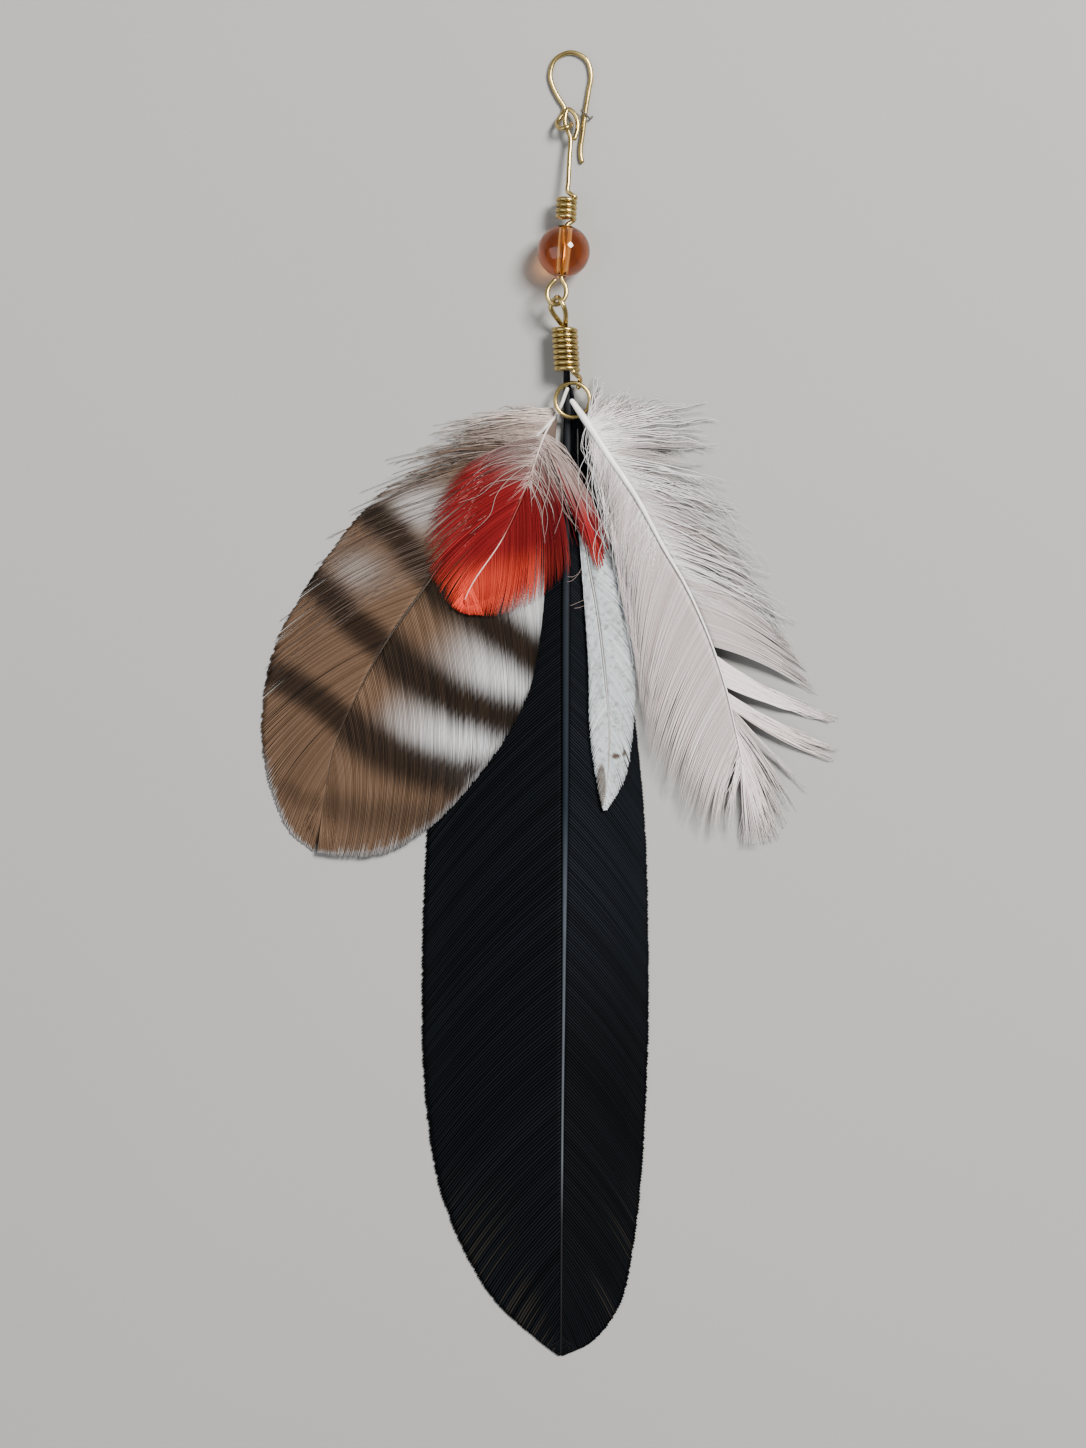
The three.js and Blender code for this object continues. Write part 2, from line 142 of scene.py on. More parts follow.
RED = dict(
    shaft=[(-3.3, -3.6, 3.3), (-3.9, -4.6, 3.6), (-4.7, -6.4, 4.1), (-7.0, -13.2, 4.7),
           (-10.6, -21.1, 4.7), (-15.1, -27.8, 4.4), (-16.4, -30.4, 4.1)],
    bare=0.06,
    reach={-1: [(0, 0.15), (0.03, 0.32), (0.15, 0.6), (0.29, 0.72), (0.42, 0.83), (0.57, 0.93), (1, 1)],
           1: [(0, 0.05), (0.02, 0.3), (0.055, 0.53), (0.065, 0.62), (0.2, 0.74), (0.35, 0.83), (0.55, 0.9),
               (1, 1)]},
    left=[(-4.9, -5.2), (-11.2, -7.4), (-16.4, -9.9), (-20.0, -13.9), (-22.2, -19), (-22.6, -23.6),
          (-21.3, -27.8), (-19.0, -31), (-17.0, -32.6)],
    right=[(-3.4, -5.4), (1.8, -13.6), (5.4, -22), (5.0, -26.8), (1.1, -26.2), (-1.7, -27.4),
           (-4.3, -29.8), (-8.1, -31.9), (-11.5, -32.9), (-15.8, -32.8)],
    edge_height=(2.4, 3.0),
)
WHITE = dict(
    shaft=[(-0.1, -0.3, 3.75), (1.5, -2.6, 4.0), (5.4, -8.6, 4.2), (9.7, -15, 4.0), (13.8, -22.5, 3.6),
           (17.3, -28.5, 3.2), (20.5, -35.5, 2.7), (23.1, -43, 2.1), (24.8, -50, 1.5), (26.6, -58.5, 1.0)],
    bare=0.06,
    reach={-1: [(0, 0.03), (0.06, 0.2), (0.2, 0.42), (0.45, 0.61), (0.65, 0.735), (0.85, 0.86), (1, 1)],
           1: [(0, 0.04), (0.02, 0.22), (0.12, 0.41), (0.3, 0.54), (0.64, 0.715), (0.65, 0.73),
               (0.752, 0.755), (0.76, 0.79), (0.8, 0.815), (0.81, 0.87), (0.88, 0.905), (0.94, 0.95),
               (1, 1)]},
    left=[(1.9, -4.9), (3.2, -10.6), (4.6, -19), (6.9, -28.9), (9.2, -38.1), (10.4, -47.3), (11.8, -55.7),
          (15.6, -61.8), (19.9, -66.6), (25.0, -67.9), (28.4, -67.9)],
    right=[(3.4, -2.2), (5.0, 3.5), (12.5, 2.6), (21.3, -0.6), (24.8, -12.1), (28.3, -24.3), (32.1, -34.3),
           (36.9, -43.2), (40.4, -49.1), (40.8, -53.7), (37.2, -60.8), (34.4, -65.6), (29.4, -67.9)],
    edge_height=(1.4, 0.4),
)
# Up to this share of its width each vane falls from the shaft in an arch, and beyond it lies flat
FLAT_MARGIN = 0.8
ARCH_POWER = 1.6
# How far barbs lie above the piece below them, how thick they are and how far they lean over
GAP = 0.3
BARB_THICKNESS = 0.2
BARB_ROLL = -0.14


# Curves

CURVE_STEPS = 32
TANGENT_REACH = 0.004


class Curve:
    """A centripetal spline through points, read by share of its length."""

    def __init__(self, points):
        points = np.array([(*p, 0.0)[:3] for p in points], float)
        line = np.vstack([2 * points[0] - points[1], points, 2 * points[-1] - points[-2]])
        knots = np.sqrt(np.linalg.norm(np.diff(line, axis=0), axis=1))
        t = np.linspace(0, 1, CURVE_STEPS, endpoint=False)[:, None]
        pieces = []
        for i in range(1, len(line) - 2):
            a, b, c, d = line[i - 1:i + 3]
            k0, k1, k2 = knots[i - 1:i + 2]
            leave = ((b - a) / k0 - (c - a) / (k0 + k1) + (c - b) / k1) * k1
            arrive = ((c - b) / k1 - (d - b) / (k1 + k2) + (d - c) / k2) * k1
            bend = 2 * b - 2 * c + leave + arrive
            lean = -3 * b + 3 * c - 2 * leave - arrive
            pieces.append(b + leave * t + lean * t ** 2 + bend * t ** 3)
        self.points = np.vstack([*pieces, points[-1:]])
        lengths = np.linalg.norm(np.diff(self.points, axis=0), axis=1)
        self.share = np.concatenate([[0], np.cumsum(lengths)])
        self.length = self.share[-1]
        self.share = self.share / self.length

    def at(self, share):
        return np.stack([np.interp(share, self.share, self.points[:, k]) for k in range(3)], axis=-1)

    def tangent(self, share):
        ahead = self.at(np.clip(share + TANGENT_REACH, 0, 1))
        return unit(ahead - self.at(np.clip(share - TANGENT_REACH, 0, 1)))


def unit(vectors):
    return vectors / np.maximum(np.linalg.norm(vectors, axis=-1, keepdims=True), 1e-9)


def mix(a, b, share):
    return a + (b - a) * share


def smooth(low, high, value):
    t = np.clip((value - low) / (high - low), 0, 1)
    return t * t * (3 - 2 * t)


def flat(vectors):
    """Vectors seen from above."""
    return vectors * np.array([1.0, 1.0, 0.0])


def rightward(vectors):
    """Vectors seen from above and turned to their right."""
    return np.stack([vectors[..., 1], -vectors[..., 0], 0 * vectors[..., 0]], axis=-1)


def beside(line):
    """The direction to the right of each strand at each of its points."""
    return rightward(unit(flat(np.gradient(line, axis=1))))


# Heights of what lies below, on a grid seen from above

CELL = 0.5
GRID_LOW = np.array([-60.0, -160.0])
GRID_SIZE = (240, 460)
SPREAD_CELLS = 3
BLUR_CELLS = 2


def heights_of(lots):
    """A reader of the height of these points, widened over a disc and then softened."""
    grid = np.zeros(GRID_SIZE)
    for points in lots:
        cells = np.floor((points[:, :2] - GRID_LOW) / CELL).astype(int)
        cells = np.clip(cells, 0, np.array(GRID_SIZE) - 1)
        np.maximum.at(grid, (cells[:, 0], cells[:, 1]), points[:, 2])
    reach = range(-SPREAD_CELLS, SPREAD_CELLS + 1)
    disc = [(i, j) for i in reach for j in reach if i * i + j * j <= SPREAD_CELLS ** 2 + 1]
    wide = np.max([np.roll(grid, offset, (0, 1)) for offset in disc], axis=0)
    reach = range(-BLUR_CELLS, BLUR_CELLS + 1)
    grid = np.mean([np.roll(wide, (i, j), (0, 1)) for i in reach for j in reach], axis=0)

    def read(points):
        place = (points[..., :2] - GRID_LOW) / CELL - 0.5
        cell = np.clip(np.floor(place).astype(int), 0, np.array(GRID_SIZE) - 2)
        part = np.clip(place - cell, 0, 1)
        i, j = cell[..., 0], cell[..., 1]
        low = mix(grid[i, j], grid[i + 1, j], part[..., 0])
        high = mix(grid[i, j + 1], grid[i + 1, j + 1], part[..., 0])
        return mix(low, high, part[..., 1])
    return read


# Strand meshes: each strand is a closed, tapered, three-sided prism

ATTRIBUTES = ("along", "out", "side", "rand", "dark", "pale", "down")
# Each strand is flattened into a cell of its own, with an empty margin. Cells are wide and low.
UV_MARGIN = 0.06
CELL_SHAPE = 20.0
REVERSED = [0, 3, 2, 1]


class Strands:
    """Gathers strands and makes them one mesh."""

    def __init__(self):
        self.lots = []

    def add(self, line, width, height, roll=0.0, **values):
        """line is strands by points by 3, width and height are strands by points."""
        shape = line.shape[:2]
        data = {name: np.zeros(shape) + values.get(name, 0.0) for name in ATTRIBUTES}
        self.lots.append((line, np.broadcast_to(width, shape), np.broadcast_to(height, shape), roll, data))

    def corners(self, line, width, height, roll):
        ahead = unit(np.gradient(line, axis=1))
        level = unit(rightward(ahead))
        up = np.cross(level, ahead)
        half = (level * np.cos(roll) + up * np.sin(roll)) * width[..., None] / 2
        rise = (up * np.cos(roll) - level * np.sin(roll)) * height[..., None]
        return np.stack([line - half - rise / 3, line + rise * 2 / 3, line + half - rise / 3], axis=2)

    def mesh(self, name):
        vertices, quads, caps, quad_uv, cap_uv = [], [], [], [], []
        total = sum(len(lot[0]) for lot in self.lots)
        columns = max(1, round(math.sqrt(total / CELL_SHAPE)))
        rows = math.ceil(total / columns)
        first_vertex, first_strand = 0, 0
        for line, width, height, roll, _ in self.lots:
            count, steps = line.shape[:2]
            vertices.append(self.corners(line, width, height, roll).reshape(-1, 3))
            ids = first_vertex + np.arange(count * steps * 3).reshape(count, steps, 3)
            quads.append(grid_quads(ids, False)[:, REVERSED])
            caps += [ids[:, 0][:, [0, 2, 1]], ids[:, -1]]
            strand = first_strand + np.arange(count)
            cell = np.stack([strand % columns, strand // columns], -1)[:, None]
            scale = np.array([columns, rows])
            corner = grid_uv(steps - 1, 3, UV_MARGIN).reshape(-1, 4, 2)[:, REVERSED].reshape(-1, 2)
            quad_uv.append(((cell + corner) / scale).reshape(-1, 2))
            for end, shift in ((UV_MARGIN, -1), (1 - UV_MARGIN, 1)):
                cap = np.array([(end, 0.3), (end + shift * UV_MARGIN / 2, 0.5), (end, 0.7)])
                cap_uv.append(((cell + cap[::shift]) / scale).reshape(-1, 2))
            first_vertex += ids.size
            first_strand += count
        vertices = np.vstack(vertices)
        made = polygons(name, vertices, np.vstack(quads), np.vstack(caps), np.vstack([*quad_uv, *cap_uv]))
        for key in ATTRIBUTES:
            add_values(made, key, np.concatenate([np.repeat(lot[-1][key].ravel(), 3) for lot in self.lots]))
        add_values(made, "ridge", np.tile([0.0, 1.0, 0.0], len(vertices) // 3))
        return made, vertices


def add_values(mesh, name, values):
    """A number at each vertex, which the materials read by name."""
    layer = mesh.attributes.new(name, "FLOAT", "POINT")
    layer.data.foreach_set("value", values.astype(np.float32))


def polygons(name, vertices, quads, triangles, uv):
    """A smooth mesh of quads and triangles, in the frame's metres."""
    made = bpy.data.meshes.new(name)
    made.vertices.add(len(vertices))
    made.vertices.foreach_set("co", (vertices * MM + RING_CENTRE).astype(np.float32).ravel())
    corners = np.concatenate([quads.ravel(), triangles.ravel()]).astype(np.int32)
    made.loops.add(len(corners))
    made.loops.foreach_set("vertex_index", corners)
    made.polygons.add(len(quads) + len(triangles))
    starts = np.concatenate([np.arange(len(quads)) * 4, len(quads) * 4 + np.arange(len(triangles)) * 3])
    made.polygons.foreach_set("loop_start", starts.astype(np.int32))
    layer = made.uv_layers.new(name="OFBake")
    layer.data.foreach_set("uv", uv.astype(np.float32).ravel())
    made.polygons.foreach_set("use_smooth", np.ones(len(starts), bool))
    made.update(calc_edges=True)
    made.validate()
    return made


def grid_quads(ids, closed):
    """Quads on a grid of vertices that closes across itself, and along itself too if closed."""
    onward = np.roll(ids, -1, axis=-2)
    quads = np.stack([ids, onward, np.roll(onward, -1, axis=-1), np.roll(ids, -1, axis=-1)], -1)
    return (quads if closed else quads[..., :-1, :, :]).reshape(-1, 4)


def grid_uv(count, sides, margin):
    """The corners of such quads, flattened out."""
    corner = np.zeros((count, sides, 4, 2))
    u = np.linspace(margin, 1 - margin, count + 1)
    v = np.linspace(margin, 1 - margin, sides + 1)
    corner[..., [0, 3], 0] = u[:-1, None, None]
    corner[..., [1, 2], 0] = u[1:, None, None]
    corner[..., [0, 1], 1] = v[None, :-1, None]
    corner[..., [2, 3], 1] = v[None, 1:, None]
    return corner.reshape(-1, 2)


def add_object(name, mesh, material, body, slot, *nodes):
    piece = bpy.data.objects.new(name, mesh)
    bpy.context.scene.collection.objects.link(piece)
    mesh.materials.append(material)
    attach(piece, body)
    if nodes:
        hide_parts(*nodes)


# Feathers

# The widths that barbs may have, and how many times the usual width at the same share of their length
BARB_WIDTHS = (0.06, 1.2)
WIDEST = 1.8
# What is left of a barb's width and length where barbs are sparse and uneven
SPARSE_WIDTH = 0.26
SPARSE_LENGTH = 0.45
# A parting's push fades over this many barbs
PARTING_REACH = 9
REACH_SAMPLES = 801
TUFT_STEPS = 22
STRAND_STEPS = 28
STRAND_LIFT = 0.5
# How thick a free strand is as a share of its width
FREE_THICKNESS = 0.8
SHAFT_SIDES = 12
SHAFT_STEP = 0.6
SHAFT_SQUASH = 0.8
DOME_STEPS = 3


class Feather:
    """The curves and the resting height of one feather. below holds the points of what it lies on."""

    def __init__(self, spec, *below):
        self.spec = spec
        self.shaft = Curve(spec["shaft"])
        self.edges = {-1: Curve(spec["left"]), 1: Curve(spec["right"])}
        self.read_below = heights_of(below)
        self.strands = Strands()
        self.paint = lambda line, along, out, side, rng: {}

    def root(self, along, side, radius=0.2):
        """Where barbs leave the shaft, closer to its middle where it is thin."""
        share = mix(self.spec["bare"], 1, along)
        offset = radius * mix(1.0, 0.15, smooth(0.5, 0.9, along))
        return self.shaft.at(share) - side * offset[:, None] * unit(rightward(self.shaft.tangent(share)))

    def rest(self, points, share, side, start_height, lift=0.0):
        """Points lifted to the arch of the vane, clear of what lies below."""
        edge_height = self.spec["edge_height"][0 if side < 0 else 1]
        arch = np.where(share < FLAT_MARGIN, 1 - np.clip(share / FLAT_MARGIN, 0, 1) ** ARCH_POWER, 0)
        height = mix(edge_height, start_height, arch) + lift
        below = self.read_below(points)
        lowest = np.where(below > 0.01, below + GAP, 0.0) + BARB_THICKNESS
        placed = points.copy()
        placed[..., 2] = np.maximum(height, lowest)
        return placed

    def lines(self, side, along, tip, steps, bow):
        """Barbs from the shaft to their tips, bowed when seen from above, and their starting heights."""
        root = self.root(along, side)
        chord = flat(tip - root)
        control = root + chord * 0.5 - rightward(chord) * side * (np.zeros(len(along)) + bow)[:, None]
        t = np.linspace(0, 1, steps)[None, :, None]
        line = (1 - t) ** 2 * root[:, None] + 2 * t * (1 - t) * control[:, None]
        return line + t ** 2 * (root + chord)[:, None], root[:, 2:]


def spacing(line):
    """How far each strand is from the next, across its own direction."""
    away = np.abs(np.sum(beside(line)[:-1] * np.diff(line, axis=0), axis=-1))
    away = np.vstack([away, away[-1:]])
    return np.minimum(away, np.median(away, axis=0) * WIDEST)


def reach_table(feather, side, softness):
    """Where the barb of each place along the shaft meets the outline, both as shares."""
    pairs = np.array(feather.spec["reach"][side], float)
    along = np.linspace(0, 1, REACH_SAMPLES)
    tip = np.interp(along, pairs[:, 0], pairs[:, 1])
    if softness > 0:
        window = 2 * int(softness * REACH_SAMPLES / 2) + 1
        tip = np.concatenate([2 * tip[0] - tip[window:0:-1], tip, 2 * tip[-1] - tip[-2:-window - 2:-1]])
        for _ in range(2):
            tip = np.convolve(tip, np.ones(window) / window, "same")
        tip = np.clip(tip[window:-window], 0, 1)
    return along, tip


def barb_places(feather, side, barbs, softness, part):
    """Barbs spread evenly between the shaft and the outline: their roots and tips as shares."""
    along, tip = reach_table(feather, side, softness)
    even = along * feather.shaft.length + tip * feather.edges[side].length
    first, last = np.interp(part, along, even)
    wanted = mix(first, last, (np.arange(barbs) + 0.5) / barbs)
    root = np.interp(wanted, even, along)
    return root, np.interp(root, along, tip)


def open_partings(line, side, partings):
    """Barbs pushed apart at each parting: a point on it, its width, and where it starts and closes."""
    tipward = beside(line) * side
    t = np.linspace(0, 1, line.shape[1])
    order = np.arange(len(line))
    for place, width, start, close in partings:
        away = np.linalg.norm(line[..., :2] - np.array(place), axis=-1)
        middle = away.min(axis=1).argmin() + 0.5
        push = np.sign(order - middle) * np.exp(-np.abs(order - middle) / PARTING_REACH)
        if close > 1:
            shape = smooth(start, close, t)
        else:
            shape = np.sin(np.pi * np.clip((t - start) / (close - start), 0, 1))
        line = line + tipward * (push[:, None] * shape[None] * width / 2)[..., None]
    return line


def waves(rng, count, t, *kinds):
    """A sum of waves along each strand. kinds pairs turns with sizes."""
    total = np.zeros((count, t.size))
    for turns, size in kinds:
        phase = rng.uniform(0, 2 * np.pi, count)[:, None]
        total += rng.normal(0, size, count)[:, None] * np.sin(2 * np.pi * turns * t + phase)
    return total


def shortened(line, length):
    """Strands drawn back toward their roots."""
    return line[:, :1] + (line - line[:, :1]) * length[..., None]


def find_locks(rng, barbs, locks):
    """The lock of each barb, and the barb in the middle of that lock."""
    inner = (np.arange(1, locks) + rng.uniform(-0.4, 0.4, locks - 1)) / locks
    edges = np.concatenate([[0], inner, [1]]) * barbs
    lock = np.clip(np.searchsorted(edges, np.arange(barbs), side="right") - 1, 0, locks - 1)
    return lock, np.clip(((edges[lock] + edges[lock + 1]) / 2).astype(int), 0, barbs - 1)


def vane(feather, side, seed, barbs, steps, locks, pinch, bow, ragged, part=(0, 1), open_from=0.6, cover=1.35,
         taper=0.35, jitter=0.3, lift_noise=0.04, softness=0.03, wave=0.0, wispy=0.0, partings=()):
    """One side of a feather: barbs from the shaft to the outline, gathered into locks near their tips.

    wispy is the share of the vane, from its base, over which the barbs are sparse and uneven.
    """
    rng = np.random.default_rng(seed)
    along, tip_share = barb_places(feather, side, barbs, softness, part)
    loose_share = 1 - smooth(wispy * 0.35, wispy, along) if wispy > 0 else np.zeros(barbs)
    loose_rows = loose_share[:, None]
    t = np.linspace(0, 1, steps)[None]
    bend = bow * (1 - smooth(0.85, 1.0, along)) * (1 - 0.75 * loose_share)
    plain, start_height = feather.lines(side, along, feather.edges[side].at(tip_share), steps, bend)
    sparse = mix(1, mix(1, SPARSE_WIDTH, smooth(0.1, 0.6, t)), loose_rows)
    width = np.clip(spacing(plain) * cover * sparse, *BARB_WIDTHS)
    plain = open_partings(plain, side, partings)
    lock, middle = find_locks(rng, barbs, locks)
    strength = mix((pinch * rng.uniform(0.0, 1.0, locks) ** 1.5)[lock], 0.9, loose_share * 0.7)[:, None]
    opening = mix((open_from + rng.uniform(-0.15, 0.25, locks))[lock][:, None], 0.2, loose_rows)
    line = mix(plain, plain[middle], (strength * smooth(opening, 1.15, t))[..., None])
    short = rng.uniform(0, 1, barbs)
    length = 1 - mix(ragged * short ** 2, (1 - SPARSE_LENGTH) * short, loose_share)
    length = (length * (1 - 0.3 * loose_share * rng.uniform(0, 1, locks)[lock]))[:, None]
    sway = rng.normal(0, jitter, barbs)[:, None] * width * t ** 2
    sway = sway + (wave + 0.22 * loose_rows) * t ** 1.5 * waves(rng, barbs, t, (1.0, 1.0), (2.3, 1.0))
    line = shortened(line + beside(line) * sway[..., None], length)
    lift = rng.normal(0, lift_noise, barbs)[:, None] * t * length
    line = feather.rest(line, t * length, side, start_height, lift)
    narrow = mix(1, taper, smooth(0.7, 1.0, t))
    feather.strands.add(
        line, width * narrow, BARB_THICKNESS * narrow, BARB_ROLL * side, along=along[:, None], out=t,
        side=side, rand=rng.uniform(0, 1, barbs)[:, None], **feather.paint(line, along, t, side, rng))


def tuft(feather, side, seed, count, roots, tips, bow, width=0.2, ragged=0.08, wave=0.03, taper=0.4,
         lift=0.15, spread=0.12, **values):
    """Barbs from a range of the shaft to a line between two points."""
    rng = np.random.default_rng(seed)
    place = (np.arange(count) + rng.uniform(0.1, 0.9, count)) / count
    along = mix(*roots, place)
    ends = [np.array([*tip, 0.0]) for tip in tips]
    tip = mix(*ends, place[:, None]) + flat(rng.normal(0, spread, (count, 3)))
    line, start_height = feather.lines(side, along, tip, TUFT_STEPS, bow + rng.normal(0, 0.008, count))
    t = np.linspace(0, 1, TUFT_STEPS)[None]
    line = line + beside(line) * (t * waves(rng, count, t, (1.2, wave), (2.7, wave)))[..., None]
    length = 1 - ragged * rng.uniform(0, 1, count)[:, None] ** 2
    line = shortened(line, length)
    raised = lift * rng.uniform(0, 1, (count, 1)) * np.sin(np.pi * t * 0.6)
    line = feather.rest(line, t * length, side, start_height, raised)
    narrow = mix(1, taper, smooth(0.5, 1.0, t))
    painted = {**feather.paint(line, along, t, side, rng), **values}
    feather.strands.add(line, width * narrow, BARB_THICKNESS * narrow, along=along[:, None], out=t, side=side,
                        rand=rng.uniform(0, 1, count)[:, None], **painted)


def tip_fan(feather, seed, count, reach=0.03, spread=0.03, width=0.3):
    """Barbs from the shaft's end to the outline's end, between the last barbs of the two sides."""
    last = (feather.edges[-1].at(1.0)[:2] + feather.edges[1].at(1.0)[:2]) / 2
    for side in (-1, 1):
        first = feather.edges[side].at(1 - spread)[:2]
        tuft(feather, side, seed + side, count, (1 - reach, 1.0), (first, last), bow=0.0, width=width,
             ragged=0.06, wave=0.0, lift=0.1, spread=0.03)


def loose(feather, side, seed, count, roots, tips, spread, wave, reach, width=0.1, lift=0.3, bend=(0.06, 0.1),
          down=1.0, steps=20):
    """Loose wavy strands. roots is a range along the shaft and tips the matching range of the outline."""
    rng = np.random.default_rng(seed)
    place = rng.uniform(0, 1, count)
    start = mix(*roots, place)
    root = feather.root(start, side, 0.15)
    edge_share = np.clip(mix(*tips, place) + rng.normal(0, spread, count), 0, 1)
    chord = flat(feather.edges[side].at(edge_share) - root) * rng.uniform(*reach, count)[:, None]
    t = np.linspace(0, 1, steps)[None]
    bow = rng.normal(*bend, count)[:, None] * np.sin(np.pi * t)
    bow = bow + t * waves(rng, count, t, (1.5, wave / 1.5), (3.0, wave / 3.0), (5.0, wave / 5.0))
    line = root[:, None] + chord[:, None] * t[..., None] - rightward(chord)[:, None] * side * bow[..., None]
    raised = rng.uniform(0, lift, count)[:, None] * np.sin(np.pi * t * 0.6) + 0.1
    line = feather.rest(line, t + np.zeros((count, 1)), side, root[:, 2:], raised)
    narrow = mix(1, 0.35, t)
    values = {**feather.paint(line, start, t, side, rng), "down": down}
    feather.strands.add(line, width * narrow, width * FREE_THICKNESS * narrow, along=start[:, None], out=t,
                        side=side, rand=rng.uniform(0, 1, count)[:, None], **values)


def strand(feather, side, points, width, **values):
    """One strand along chosen points, at the height of what it crosses."""
    t = np.linspace(0, 1, STRAND_STEPS)[None]
    line = Curve(points).at(t[0])[None]
    start_height = np.full((1, 1), feather.shaft.at(0.2)[2])
    line = feather.rest(line, t * 0.6, side, start_height, STRAND_LIFT)
    narrow = mix(1, 0.4, t)
    painted = {**feather.paint(line, np.full(1, 0.1), t, side, np.random.default_rng(1)), **values}
    feather.strands.add(line, width * narrow, width * FREE_THICKNESS * narrow, out=t, side=side, rand=0.8,
                        **painted)


def shaft_tube(feather, name, radii, end, lift):
    """The quill and rachis, round and tapered. radii pairs shares of the length with radii."""
    share = np.linspace(0, end, int(feather.shaft.length / SHAFT_STEP))
    line = feather.shaft.at(share)
    line[:, 2] += lift * smooth(0.1, 0.3, share)
    return tube_mesh(name, line, np.interp(share, *zip(*radii)), SHAFT_SIDES, SHAFT_SQUASH)


def tube_mesh(name, line, radius, sides, squash=1.0):
    """A closed round tube along a line, with domed ends."""
    radius = np.zeros(len(line)) + radius
    ahead = unit(np.gradient(line, axis=0))
    dome = np.arange(1, DOME_STEPS + 1) / (DOME_STEPS + 1) * np.pi / 2
    start = line[0] - ahead[0] * radius[0] * np.cos(dome)[:, None]
    end = line[-1] + ahead[-1] * radius[-1] * np.cos(dome)[:, None]
    line = np.vstack([start, line, end[::-1]])
    radius = np.concatenate([radius[0] * np.sin(dome), radius, radius[-1] * np.sin(dome)[::-1]])
    ahead = np.vstack([np.repeat(ahead[:1], DOME_STEPS, 0), ahead, np.repeat(ahead[-1:], DOME_STEPS, 0)])
    across = np.zeros_like(line)
    side = np.cross(ahead[0], (0.0, 0.0, 1.0))
    if np.linalg.norm(side) < 0.2:
        side = np.array([1.0, 0.0, 0.0])
    for i, direction in enumerate(ahead):
        side = side - direction * np.dot(side, direction)
        side = side / np.linalg.norm(side)
        across[i] = side
    up = np.cross(across, ahead)
    angle = np.linspace(0, 2 * np.pi, sides, endpoint=False)
    ring = across[:, None] * np.cos(angle)[:, None] + up[:, None] * np.sin(angle)[:, None] * squash
    rings = (line[:, None] + ring * radius[:, None, None]).reshape(-1, 3)
    tips = [line[0] - ahead[0] * radius[0] * 0.3, line[-1] + ahead[-1] * radius[-1] * 0.3]
    count = len(line)
    ids = np.arange(count * sides).reshape(count, sides)
    turned = np.roll(ids, -1, axis=1)
    caps = [np.stack([np.full(sides, ids.size), ids[0], turned[0]], -1),
            np.stack([np.full(sides, ids.size + 1), turned[-1], ids[-1]], -1)]
    v = np.linspace(0.02, 0.98, sides + 1)
    uv = [grid_uv(count - 1, sides, 0.02)]
    for tip, rim, a, b in ((0.005, 0.018, v[:-1], v[1:]), (0.995, 0.982, v[1:], v[:-1])):
        corner = np.array([[tip + 0 * a, (a + b) / 2], [rim + 0 * a, a], [rim + 0 * a, b]])
        uv.append(np.moveaxis(corner, 2, 0).reshape(-1, 2))
    made = polygons(name, np.vstack([rings, *tips]), grid_quads(ids, False), np.vstack(caps), np.vstack(uv))
    add_values(made, "along", np.concatenate([np.repeat(np.linspace(0, 1, count), sides), [0, 1]]))
    add_values(made, "top", np.concatenate([np.tile(np.sin(angle), count), [0, 0]]))
    return made


# Materials

class Shader:
    """A node material, built by name."""

    def __init__(self, name):
        self.material = bpy.data.materials.new(name)
        self.material.use_nodes = True
        self.tree = self.material.node_tree
        self.tree.nodes.clear()
        self.output = self.tree.nodes.new("ShaderNodeOutputMaterial")

    def node(self, kind, inputs=None, **settings):
        made = self.tree.nodes.new("ShaderNode" + kind)
        for key, value in settings.items():
            setattr(made, key, value)
        for key, value in (inputs or {}).items():
            self.put(made.inputs[key], value)
        return made

    def put(self, socket, value):
        if isinstance(value, bpy.types.NodeSocket):
            self.tree.links.new(value, socket)
        elif isinstance(value, tuple) and len(value) == 3 and socket.type == "RGBA":
            socket.default_value = (*value, 1.0)
        else:
            socket.default_value = value

    def attribute(self, name):
        return self.node("Attribute", attribute_name=name).outputs["Fac"]

    def power(self, value, exponent):
        return self.node("Math", {0: value, 1: exponent}, operation="POWER").outputs[0]

    def ramp(self, value, *stops):
        """A change of colour or value between stops of (place, colour)."""
        made = self.node("ValToRGB", {"Fac": value})
        elements = made.color_ramp.elements
        while len(elements) < len(stops):
            elements.new(0.5)
        for element, (place, colour) in zip(elements, stops):
            element.position = place
            shade = colour if isinstance(colour, tuple) else (colour, colour, colour)
            element.color = (*shade, 1.0)
        return made.outputs["Color"]

    def blend(self, share, a, b, kind="MIX"):
        made = self.node("Mix", data_type="RGBA", blend_type=kind)
        self.put(made.inputs[0], share)
        self.put(made.inputs[6], a)
        self.put(made.inputs[7], b)
        return made.outputs[2]

    def scaled(self, colour, amount):
        return self.blend(1.0, colour, (amount, amount, amount), "MULTIPLY")

    def noise(self, scale, detail=3.0, stretch=(1.0, 1.0, 1.0)):
        place = self.node("TexCoord").outputs["Object"]
        place = self.node("Mapping", {"Vector": place, "Scale": stretch}).outputs[0]
        return self.node("TexNoise", {"Vector": place, "Scale": scale, "Detail": detail}).outputs["Fac"]

    def surface(self, colour, roughness, **inputs):
        """The main surface. Its other inputs are named with _ for a space."""
        named = {key.replace("_", " "): value for key, value in inputs.items()}
        return self.node("BsdfPrincipled", {"Base Color": colour, "Roughness": roughness, **named}).outputs[0]

    def finish(self, surface):
        self.put(self.output.inputs["Surface"], surface)
        return self.material


def finish_barbs(shader, colour, roughness, see_through, sheen, specular):
    """Barbs scatter light at their front and let some of it through."""
    front = shader.surface(colour, roughness, Specular_IOR_Level=specular, Sheen_Weight=sheen,
                           Sheen_Roughness=0.4)
    if see_through <= 0:
        return shader.finish(front)
    back = shader.node("BsdfTranslucent", {"Color": colour}).outputs[0]
    return shader.finish(shader.node("MixShader", {0: see_through, 1: front, 2: back}).outputs[0])


